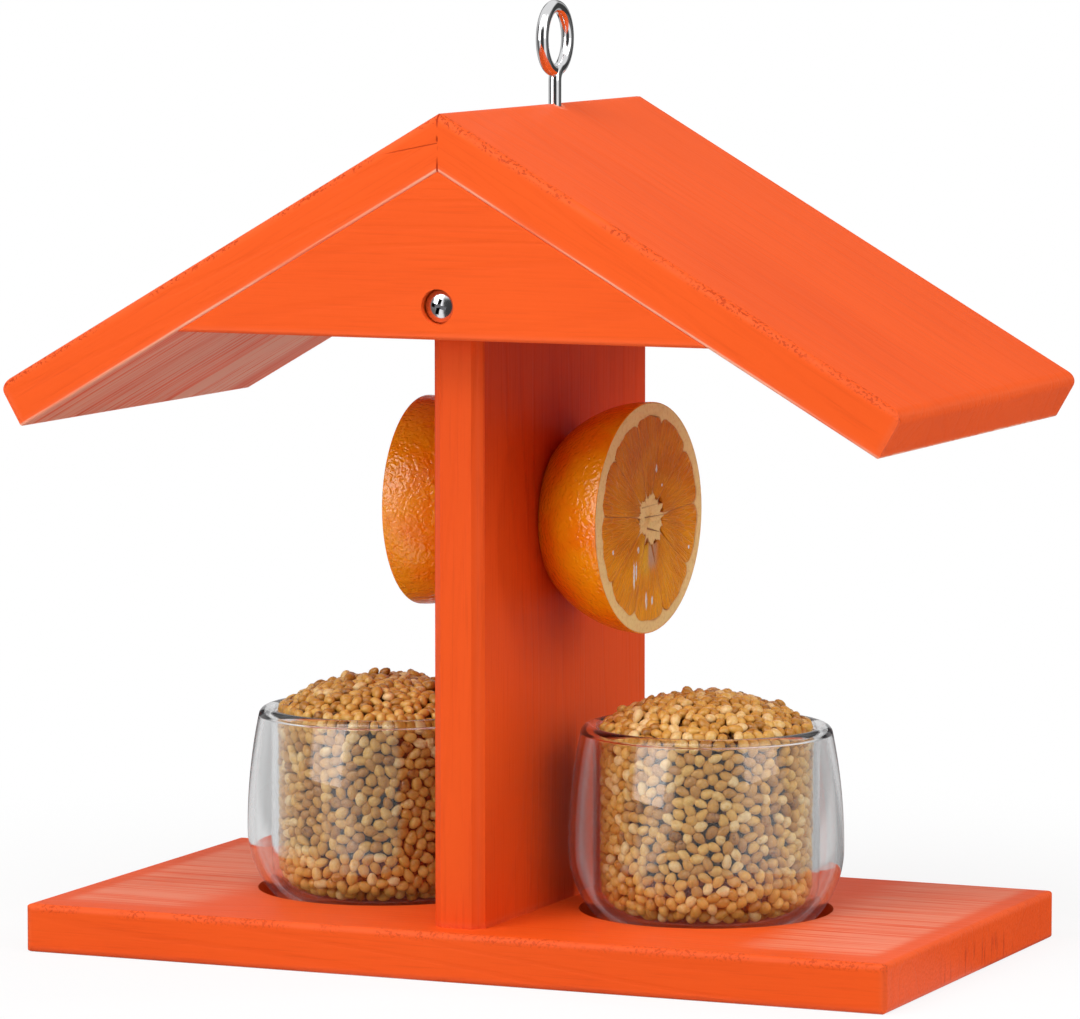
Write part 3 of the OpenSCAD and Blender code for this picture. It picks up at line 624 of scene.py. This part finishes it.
seed_coat, tree, shader = new_material("seed_coat")
place = object_place(tree)
speckle = noise(tree, place, 700)
shade = times(tree, calc(tree, "SUBTRACT", speckle, 0.5), 0.35)
shade = calc(tree, "ADD", carried(tree, "grain_tone"), shade)
feed(tree, shader, {
    "Base Color": stops(tree, shade, ((0, "2C1606"), (0.08, "7C4C1C"), (0.16, "B07830"), (0.55, "D49C44"),
                                      (0.85, "E4B45C"), (1, "F4D498"))),
    "Roughness": calc(tree, "ADD", 0.20, times(tree, speckle, 0.2)),
    "Normal": relief(tree, noise(tree, place, 1800, 1.0), 0.00008, 0.5)})


def seed_section(depth):
    """The side of the seed from low down at the glass up to the top of the heap, set in by depth."""
    bend_mid = (SEED_R - SEED_BEND_R, SEED_LOW + SEED_BEND_R)
    line = bow(bend_mid, SEED_BEND_R - depth, -60, 0, 12)
    line += [(SEED_R - depth, z) for z in np.linspace(bend_mid[1], SEED_EDGE, 40)[1:]]
    rise = SEED_TOP - SEED_EDGE
    heap_r = (SEED_R ** 2 + rise ** 2) / (2 * rise)
    heap_turn = math.degrees(math.asin((SEED_R - depth) / heap_r))
    heap = bow((0, SEED_TOP - heap_r), heap_r - depth, 90 - heap_turn, 90, 40)
    return np.array(line + [h for h in heap if h[1] > line[-1][1] - 1.0])


def settle(depth, gap, chance):
    """Points about one gap apart all over that section turned round, the way out at each, and how loose."""
    line = seed_section(depth)
    step = np.hypot(*np.diff(line, axis=0).T)
    run = np.concatenate([[0], np.cumsum(step)])
    area = np.concatenate([[0], np.cumsum(step * (line[1:, 0] + line[:-1, 0]) * math.pi)])
    count = int(area[-1] / (gap * gap * 0.80))
    s = np.interp((np.arange(count) + 0.5) / count * area[-1], area, run)
    s = s + chance.normal(0, gap * 0.30, count)
    a = np.arange(count) * GOLDEN_TURN + chance.normal(0, 0.35, count) * gap / 30

    def spots():
        r, z = np.interp(s, run, line[:, 0]), np.interp(s, run, line[:, 1])
        return np.stack([r * np.cos(a), r * np.sin(a), z], 1), r

    def slopes():
        dr, dz = [np.interp(s + 0.5, run, line[:, i]) - np.interp(s - 0.5, run, line[:, i]) for i in (0, 1)]
        return dr, dz, np.hypot(dr, dz) + 1e-9

    for _ in range(14):
        p, r = spots()
        apart = np.sum(p * p, 1)[:, None] + np.sum(p * p, 1)[None] - 2 * p @ p.T
        i, k = np.nonzero((apart < gap * gap) & ~np.eye(count, dtype=bool))
        d = p[i] - p[k]
        far = np.linalg.norm(d, axis=1)[:, None] + 1e-6
        push = np.zeros_like(p)
        np.add.at(push, i, d / far * (gap - far) * 0.42)
        dr, dz, long = slopes()
        outer = (push[:, 0] * np.cos(a) + push[:, 1] * np.sin(a)) * dr / long
        s = np.clip(s + outer + push[:, 2] * dz / long, 0, run[-1] - 0.3)
        a = a + (-push[:, 0] * np.sin(a) + push[:, 1] * np.cos(a)) / np.maximum(r, 2.0)
    p, r = spots()
    dr, dz, long = slopes()
    out = np.stack([dz / long * np.cos(a), dz / long * np.sin(a), -dr / long], 1)
    loose = np.clip((p[:, 2] - SEED_EDGE) / 2.0, 0, 1)
    rides = loose * (chance.uniform(0, 1, count) < 0.10)
    lift = chance.uniform(-0.35, 0.0, count) + loose * chance.uniform(-0.2, 0.6, count)
    lift = lift + rides * chance.uniform(0.6, 1.5, count)
    return p + out * lift[:, None], out, loose + rides


sower = bpy.data.node_groups.new("scatter_grains", "GeometryNodeTree")
sower.interface.new_socket("Geometry", in_out="INPUT", socket_type="NodeSocketGeometry")
for name, kind, value in (("Grain Length", "Float", 1.0), ("Grain Width", "Float", 1.0),
                          ("Grain Thickness", "Float", 1.0), ("Size Spread", "Float", 0.1),
                          ("Facets", "Int", 2), ("Grain Seed", "Int", 1),
                          ("Darkest", "Float", 0.1), ("Lightest", "Float", 1.0)):
    made = sower.interface.new_socket(name, in_out="INPUT", socket_type="NodeSocket" + kind)
    made.default_value = value
sower.interface.new_socket("Geometry", in_out="OUTPUT", socket_type="NodeSocketGeometry")
given = put(sower, "NodeGroupInput").outputs


def drawn(number, low, high):
    """A random number for each grain, from the tree's own seed."""
    seed = calc(sower, "ADD", times(sower, given["Grain Seed"], 31.0), float(number))
    made = put(sower, "FunctionNodeRandomValue", {"Seed": seed, 2: low, 3: high}, data_type="FLOAT")
    return made.outputs[1]


def one_about(number):
    return calc(sower, "ADD", 1.0, times(sower, drawn(number, -1.0, 1.0), given["Size Spread"]))


ball = put(sower, "GeometryNodeMeshIcoSphere", {"Radius": 0.5, "Subdivisions": given["Facets"]})
spot = get(sower, "GeometryNodeInputPosition")
spot = parts(sower, spot)
slim = calc(sower, "SUBTRACT", 1.0, times(sower, spot[0], 0.40))
egg = get(sower, "ShaderNodeCombineXYZ", {0: spot[0], 1: times(sower, spot[1], slim),
                                            2: times(sower, spot[2], slim)})
ball = get(sower, "GeometryNodeSetPosition", {"Geometry": ball.outputs["Mesh"], "Position": egg})
ball = get(sower, "GeometryNodeSetShadeSmooth", {"Geometry": ball})
grain_size = get(sower, "ShaderNodeCombineXYZ", {0: times(sower, given["Grain Length"], one_about(1)),
                                                   1: times(sower, given["Grain Width"], one_about(2)),
                                                   2: given["Grain Thickness"]})
outward = get(sower, "GeometryNodeInputNamedAttribute", {"Name": "outward"}, data_type="FLOAT_VECTOR")
upright = get(sower, "FunctionNodeAlignRotationToVector", {"Vector": outward}, axis="Z")
loose = get(sower, "GeometryNodeInputNamedAttribute", {"Name": "loose"}, data_type="FLOAT")
tip = calc(sower, "ADD", 0.24, times(sower, loose, 0.28))
own_turn = get(sower, "ShaderNodeCombineXYZ", {0: times(sower, tip, drawn(3, -1.0, 1.0)),
                                                 1: times(sower, tip, drawn(4, -1.0, 1.0)),
                                                 2: drawn(5, 0.0, 6.283)})
own_turn = get(sower, "FunctionNodeEulerToRotation", {0: own_turn})
turn = get(sower, "FunctionNodeRotateRotation", {0: upright, 1: own_turn}, rotation_space="LOCAL")
laid = get(sower, "GeometryNodeInstanceOnPoints", {"Points": given["Geometry"], "Instance": ball,
                                                     "Rotation": turn, "Scale": grain_size})
tone = get(sower, "ShaderNodeMapRange", {"Value": calc(sower, "POWER", drawn(6, 0.0, 1.0), 0.8),
                                           "To Min": given["Darkest"], "To Max": given["Lightest"]})
laid = get(sower, "GeometryNodeStoreNamedAttribute", {"Geometry": laid, "Name": "grain_tone", "Value": tone},
           data_type="FLOAT", domain="INSTANCE")
laid = get(sower, "GeometryNodeRealizeInstances", {"Geometry": laid})
laid = get(sower, "GeometryNodeSetMaterial", {"Geometry": laid, "Material": seed_coat})
put(sower, "NodeGroupOutput", {0: laid})


def pour_grains(name, bed, middle_x, tones, seed):
    """One grain on each point of a settled bed, made by the tree above and turned into a plain mesh."""
    points, outward, loose = bed
    mesh = bpy.data.meshes.new(name + "_points")
    mesh.from_pydata([(middle_x + p[0] / 1000, p[1] / 1000, p[2] / 1000) for p in points], [], [])
    ways = mesh.attributes.new("outward", "FLOAT_VECTOR", "POINT").data
    ways.foreach_set("vector", outward.astype(np.float32).ravel())
    mesh.attributes.new("loose", "FLOAT", "POINT").data.foreach_set("value", loose.astype(np.float32))
    host = bpy.data.objects.new(name + "_points", mesh)
    bpy.context.scene.collection.objects.link(host)
    grains = host.modifiers.new("grains", "NODES")
    grains.node_group = sower
    sockets = {s.name: s.identifier for s in sower.interface.items_tree if s.in_out == "INPUT"}
    for label, value in (("Grain Length", GRAIN_L / 1000), ("Grain Width", GRAIN_W / 1000),
                         ("Grain Thickness", GRAIN_T / 1000), ("Size Spread", 0.13), ("Facets", 2),
                         ("Grain Seed", seed), ("Darkest", tones[0]), ("Lightest", tones[1])):
        grains[sockets[label]] = value
    result = bpy.data.meshes.new_from_object(host.evaluated_get(bpy.context.evaluated_depsgraph_get()))
    result.name = name
    host.modifiers.remove(grains)
    bpy.data.objects.remove(host)
    poured = bpy.data.objects.new(name, result)
    bpy.context.scene.collection.objects.link(poured)
    return poured


for side, end, seed in ((-1, "left", 3), (1, "right", 8)):
    chance = np.random.default_rng(seed)
    front = settle(GRAIN_T / 2 + 0.1, 3.98, chance)
    grains = pour_grains("seed_grains_" + end, front, side * CUP_X, (0.12, 1.0), seed)
    # Grains set deeper, all near black: painted shade behind the front grains.
    behind = settle(GRAIN_T / 2 + 2.6, 4.4, chance)
    shade_grains = pour_grains("seed_shade_behind_" + end, behind, side * CUP_X, (0.0, 0.06), seed + 20)
    # A near-black core inside the grains, painted shade where the gaps show through.
    section = [(r / 1000, z / 1000) for r, z in seed_section(5.0)]
    verts, faces = turned([(0.0, section[0][1])] + section[:-1] + [(0.0, section[-1][1])], side * CUP_X, 48)
    heart = piece("seed_heart_" + end, verts, faces, seed_coat)
    face_outwards(heart)
    for part in (grains, shade_grains, heart):
        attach(part, "root")
        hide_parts("seed_" + end)

# Oranges: a fresh orange cut in half, each half pressed on the spike with its
# dome flat against the post. Dimpled zest outside, white pith, ten juicy
# segments between thin skins, and a ragged white core. The sizes are millimetres.
# The core is given as angle and reach, a slit by its ends, width and depth, and a
# glint spot, a small raised bump painted with a white glint, by its place on the cut face, width and height.
POST_FACE_X, PEEL_T, POCKET_X, SEGMENT_X = 1000 * POST_T / 2, 4.25, -1.3, -1.15
SKINS = [math.radians(a) for a in (3.7, 39, 73.5, 105, 138.8, 174.5, 216.2, 251.6, 288.4, 327)]
CORE = np.array([(0, 9.6), (10, 8.2), (21, 10.2), (32, 7.6), (50, 7.4), (72, 8.0), (95, 6.8), (118, 6.4),
                 (140, 7.6), (165, 6.6), (185, 6.5), (212, 7.4), (235, 5.9), (262, 6.6), (285, 9.4),
                 (298, 8.0), (312, 11.0), (330, 8.6), (345, 9.6), (352, 8.4), (360, 9.6)])
SLITS = (((-3.0, 0.3), (12.0, 0.3), 0.26, 0.75), ((-1.5, -3.3), (8.4, -5.4), 0.36, 1.0),
         ((-5.0, 3.6), (8.0, 4.2), 0.22, 0.6))
GLINT_SPOTS = ((-10.9, -17.8, 0.5, 3.8), (-9.3, -16.5, 0.4, 2.6), (-7.9, -9.8, 0.6, 0.9),
             (-2.4, -27.0, 0.5, 2.5), (1.8, -27.2, 0.4, 1.3), (-25.5, -9.0, 0.5, 0.6),
             (28.0, -12.1, 0.5, 0.5), (5.0, 15.9, 0.4, 1.2), (8.7, 10.0, 0.4, 0.4))

orange_rind, tree, shader = new_material("orange_rind")
place = object_place(tree)
zest = carried(tree, "zest")
fleck = noise(tree, place, 900, 3.0)
wavy = noise(tree, place, 500, 1.0, distortion=0.8)
pith = tint(tree, times(tree, fade(tree, fleck, 0.45, 0.75), 0.45), "F4D08A", "D8A058")
pith = tint(tree, carried(tree, "juicy"), pith, "C06C18")
pith = tint(tree, carried(tree, "slit"), pith, "7A2404")
skin = tint(tree, fade(tree, noise(tree, place, 60), 0.35, 0.7), "FFA008", "FF8606")
pore = put(tree, "ShaderNodeTexVoronoi", {"Vector": place, "Scale": 620.0}, feature="SMOOTH_F1")
pore = fade(tree, pore.outputs["Distance"], 0.10, 0.42)
bumps = times(tree, zest, calc(tree, "ADD", times(tree, pore, 0.25), wavy))
bumps = calc(tree, "ADD", bumps, times(tree, fleck, 0.25))
feed(tree, shader, {
    "Base Color": tint(tree, zest, pith, skin),
    "Roughness": calc(tree, "SUBTRACT", 0.60, times(tree, zest, 0.40)),
    "Normal": relief(tree, bumps, 0.00055, 0.85), "Specular IOR Level": 0.85,
    "Subsurface Weight": 0.10, "Subsurface Radius": (0.004, 0.0015, 0.0005)})

orange_pulp, tree, shader = new_material("orange_pulp")
place = get(tree, "ShaderNodeUVMap", uv_map="sacs")
own, sac_skin = [put(tree, "ShaderNodeTexVoronoi", {"Vector": place, "Scale": 1.0}, feature=feature,
                     voronoi_dimensions="2D").outputs[result]
                 for feature, result in (("F1", "Color"), ("DISTANCE_TO_EDGE", "Distance"))]
own = get(tree, "ShaderNodeSeparateColor", {0: own})
thread = get(tree, "ShaderNodeMapping", {"Vector": place, "Scale": (3.2, 0.35, 1)})
thread = noise(tree, thread, 1, 3.0)
# Painted white glints in thin streaks on the raised spots, with a clear coat there.
glint = times(tree, fade(tree, carried(tree, "glint_spot"), 0.12, 0.45), fade(tree, thread, 0.34, 0.44))
# The pulp runs from darker at the top to lighter at the bottom as painted shade.
juice = tint(tree, carried(tree, "tone_and_painted_shade"), "D4720E", "FCA814")
for share, colour in ((times(tree, own, 0.28), "C05C06"),
                      (times(tree, fade(tree, thread, 0.50, 0.72), 0.45), "F8B040"),
                      (times(tree, fade(tree, sac_skin, 0.06, 0.0), 0.15), "F8C060"),
                      (carried(tree, "gel"), "F4B830"), (carried(tree, "milky"), "D0B09A"),
                      (glint, "FFFFFF")):
    juice = tint(tree, share, juice, colour)
plump = calc(tree, "ADD", fade(tree, sac_skin, 0.0, 0.22), times(tree, thread, 0.4))
feed(tree, shader, {
    "Base Color": juice, "Coat Weight": glint, "Coat Roughness": 0.04, "Specular IOR Level": 0.35,
    "Roughness": calc(tree, "ADD", 0.10, times(tree, thread, 0.16)),
    "Normal": relief(tree, plump, 0.00025, 0.7),
    "Subsurface Weight": 0.20, "Subsurface Radius": (0.004, 0.0018, 0.0004)})


def core_reach(a, seed):
    """How far the ragged core reaches at an angle."""
    reach = np.interp(np.degrees(a) % 360, CORE[:, 0], CORE[:, 1])
    return reach + 0.35 * np.sin(17 * a + seed) + 0.25 * np.sin(41 * a + 2 * seed)


def pulp_edge(radius, a, seed):
    """Where pulp ends and pith begins; the peel is thickest on one side."""
    edge = radius - PEEL_T + 0.55 * np.cos(a) - 0.3 * np.sin(a)
    return edge + 0.25 * np.sin(5 * a + seed) + 0.18 * np.sin(23 * a + 3 * seed)


def in_pulp(rho, a, radius, seed):
    """How deep a point of the cut face lies inside a segment: below 0 it is pith, skin or core."""
    off = np.min(np.abs((a[..., None] - np.array(SKINS) + math.pi) % (2 * math.pi) - math.pi), axis=-1)
    outer, core = pulp_edge(radius, a, seed) - rho, rho - core_reach(a, seed)
    thin = 0.06 + 0.55 * np.exp(-np.maximum(core, -2) / 1.6) + 0.9 * np.exp(-np.maximum(outer, -2) / 1.1)
    thin = thin + 0.4 * np.exp(-((rho - 12.5) / 2.4) ** 2) * (np.cos(a) > 0.985)
    side = rho * np.sin(np.minimum(off, 1.2)) - thin

    def corner(p, q, r):
        rounded = r - np.hypot(np.maximum(r - p, 0), np.maximum(r - q, 0))
        return np.where((p < r) & (q < r), rounded, np.minimum(p, q))

    return corner(corner(side, outer, 3.0), core, 0.6)


def slash(y, z, start, end, width):
    """A narrow cut from one point of the cut face to another, 1 in its middle."""
    (y0, z0), (y1, z1) = start, end
    share = np.clip((y - y0) / (y1 - y0), 0, 1)
    return np.exp(-((z - z0 - (z1 - z0) * share) / (width * (1.1 - share))) ** 2) * (y > y0) * (y < y1)


def place_fruit(points, fruit, side):
    """From the cut face's own axes, x out of it and y, z across it, to the feeder's, in metres."""
    cut_x, height, turn = fruit[1:]
    c, s = math.cos(math.radians(turn)), math.sin(math.radians(turn))
    x, y, z = points[:, 0], points[:, 1], points[:, 2]
    wide = np.maximum(cut_x + x * c + y * s, POST_FACE_X + 0.02)
    return np.stack([side * wide, -x * s + y * c, height + z], 1) / 1000


def give(made, name, values):
    layer = made.data.attributes.new(name, "FLOAT", "POINT").data
    layer.foreach_set("value", np.asarray(values, np.float32))


def cut_rind(end, side, fruit, around, fine, seed):
    """Peel, pith, skins and core in one piece: the cut face with a pocket for each segment, and the dome."""
    radius = fruit[0]
    angles = np.arange(around) * 2 * math.pi / around
    radii = np.linspace(0.3, radius - 0.45, fine)
    rho, a = np.meshgrid(radii, angles, indexing="ij")
    y, z = rho * np.cos(a), rho * np.sin(a)
    inside, core, edge = in_pulp(rho, a, radius, seed), core_reach(a, seed), pulp_edge(radius, a, seed)
    bubbly = 0.05 * np.sin(rho * 2.1 + 3 * np.sin(a * 9)) + 0.04 * np.sin(a * 61 + rho)
    slit = np.max([depth * slash(y, z, start, stop, width) for start, stop, width, depth in SLITS], axis=0)
    slit = slit * (inside < 0.2)
    skin = np.clip((edge - rho) / 2.0, 0, 1) * np.clip((rho - core) / 2.0, 0, 1)
    level = np.where(inside > 0, POCKET_X * np.clip(inside / 0.35, 0, 1), bubbly - 0.25 * slit) - 0.25 * skin
    level = np.where(rho < 7, level - 0.25 * np.exp(-(rho / 3.5) ** 2), level)
    face = np.stack([level.ravel(), y.ravel(), z.ravel()], 1)
    rings = [(radius - 0.18, -0.02), (radius - 0.05, -0.10)]
    for turn in np.concatenate([[0.0], np.linspace(0.9, 89.4, int(fine * 0.5))]):
        c, s = math.cos(math.radians(turn)), math.sin(math.radians(turn))
        rings.append((radius * c, -0.25 - (radius - 0.25) * s))
    dome = [np.stack([np.full(around, x), r * np.cos(angles), r * np.sin(angles)], 1) for r, x in rings]
    points = np.concatenate([face, *dome, [[level[0].mean(), 0, 0], [-radius, 0, 0]]])
    total = len(radii) + len(rings)
    faces = grid_faces(total, around)
    first, last = total * around, total * around + 1
    for k in range(around):
        after = (k + 1) % around
        faces.append((first, after, k))
        faces.append((last, (total - 1) * around + k, (total - 1) * around + after))
    rind = piece("orange_rind_" + end, place_fruit(points, fruit, side), faces, orange_rind)
    soaked = np.clip(1 + inside / 0.4, 0, 1) * 0.7 + np.clip(1 + inside / 1.2, 0, 1) * 0.3
    soaked = np.where(rho < core, soaked * 0.4, soaked) * (1 - 0.7 * np.clip(1 - (edge - rho) / 3.0, 0, 1))
    none, all_over = np.zeros(len(rings) * around), np.ones(len(rings) * around)
    for name, on_face, on_dome, at_tip in (("zest", 0 * rho, all_over, 1), ("juicy", soaked, none, 0),
                                           ("slit", slit, none, 0)):
        give(rind, name, np.concatenate([on_face.ravel(), on_dome, [0, at_tip]]))
    face_outwards(rind)
    return rind


def fill_segments(end, side, fruit, around, fine, seed):
    """The ten segments in one piece, each a net of juice sacs with a wall and a floor in its pocket."""
    radius = fruit[0]
    verts, faces, sacs, looks = [], [], [], {"tone_and_painted_shade": [], "milky": [], "gel": [], "glint_spot": []}
    along_n, across_n = int(fine * 0.6), int(around / 7)
    ease = (1 - np.cos(np.linspace(0, math.pi, along_n))) / 2
    lanes = np.sin(np.linspace(-1, 1, across_n) * math.pi / 2)
    spread = np.linspace(0, 1, 160)
    loop = [i * across_n for i in range(along_n)]
    loop += [(along_n - 1) * across_n + i for i in range(1, across_n)]
    loop += [i * across_n + across_n - 1 for i in range(along_n - 2, -1, -1)]
    loop += [i for i in range(across_n - 2, 0, -1)]
    for k, skin in enumerate(SKINS):
        span = ((SKINS[(k + 1) % len(SKINS)] - skin) % (2 * math.pi)) / 2
        middle = skin + span
        stop = float(pulp_edge(radius, np.array(middle), seed))
        start = float(core_reach(np.array(middle), seed))
        reach = start + (stop - start) * ease
        trial = in_pulp(reach[:, None], middle + span * spread[None] * np.ones((along_n, 1)), radius, seed)
        half = span * np.array([spread[row > 0].max() if (row > 0).any() else 0.0 for row in trial])
        rho, lane = np.meshgrid(reach, lanes, indexing="ij")
        swing = lane * half[:, None]
        a = middle + swing
        y, z = rho * np.cos(a), rho * np.sin(a)
        deep = np.maximum(in_pulp(rho, a, radius, seed), 0)
        ribs = 0.03 * np.sin(swing * 90 + 2 * np.sin(rho * 0.7 + k))
        ribs = ribs + 0.03 * np.sin(rho * 3.0 + 5 * np.sin(a * 30))
        # Spots that are raised a little and carry painted white glints.
        glint_spot = np.max([np.exp(-((y - wet_y) / wide) ** 2 - ((z - wet_z) / tall) ** 2)
                      for wet_y, wet_z, wide, tall in GLINT_SPOTS], axis=0)
        pocket = np.exp(-((y - 2.7) / 2.9) ** 4 - ((z + 12.0) / 4.5) ** 4)
        gel = 0.75 * np.exp(-((y + 3.2) / 3.6) ** 4 - ((z + 11.8) / 7.0) ** 4)
        x = -0.14 + 0.24 * (1 - np.exp(-deep / 0.5)) + ribs * np.clip(deep / 0.8, 0, 1)
        x = x + 0.2 * glint_spot - 0.6 * pocket - 0.15 * gel
        # Painted shade: darker toward the top of the cut face, lighter toward the bottom, with a little
        # wavering tone.
        tone = np.clip(0.40 - 0.55 * z / radius + 0.15 * np.sin(a * 5 + rho * 0.3), 0, 1)
        milky = np.maximum(pocket * 0.8, 0.12 * np.exp(-deep / 0.25))
        base = len(verts)
        verts += list(np.stack([x.ravel(), y.ravel(), z.ravel()], 1))
        sacs += list(np.stack([(swing * 20 + 7.3 * k).ravel(), (rho / 8.5).ravel()], 1))
        for name, values in (("tone_and_painted_shade", tone), ("milky", milky), ("gel", gel), ("glint_spot", glint_spot)):
            looks[name] += list(values.ravel())
        faces += [tuple(base + i for i in f) for f in grid_faces(along_n, across_n, closed=False)]
        low = len(verts)
        verts += [np.array((SEGMENT_X, *verts[base + i][1:])) for i in loop]
        centre = (start + stop) / 2
        verts.append(np.array((SEGMENT_X, np.cos(middle) * centre, np.sin(middle) * centre)))
        for values in (sacs, *looks.values()):
            values += [values[base + i] for i in loop] + [values[base]]
        for i in range(len(loop)):
            j = (i + 1) % len(loop)
            faces.append((base + loop[i], base + loop[j], low + j, low + i))
            faces.append((low + i, low + j, low + len(loop)))
    pulp = piece("orange_pulp_" + end, place_fruit(np.array(verts), fruit, side), faces, orange_pulp)
    for name, values in looks.items():
        give(pulp, name, values)
    layer = pulp.data.uv_layers.new(name="sacs")
    corner = np.zeros(len(pulp.data.loops), np.int32)
    pulp.data.loops.foreach_get("vertex_index", corner)
    layer.data.foreach_set("uv", np.array(sacs, np.float32)[corner].ravel())
    face_outwards(pulp, merge=2e-6)
    return pulp


# Each half's radius, how far its cut face stands from the middle, its height and
# turn; then how many points round it and across it, and the phase of its waves.
for orange in (("right", 1, (37.75, 37.7, 143.0, 5.0), 390, 160, 1.3),
               ("left", -1, (34.5, 42.2, 146.0, 0.0), 320, 120, 2.1)):
    rind, pulp = cut_rind(*orange), fill_segments(*orange)
    for made, node, slot in ((rind, "orange_peel_", "orange_peel"), (pulp, "orange_flesh_", "orange_flesh")):
        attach(made, "root")
        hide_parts(node + orange[0])
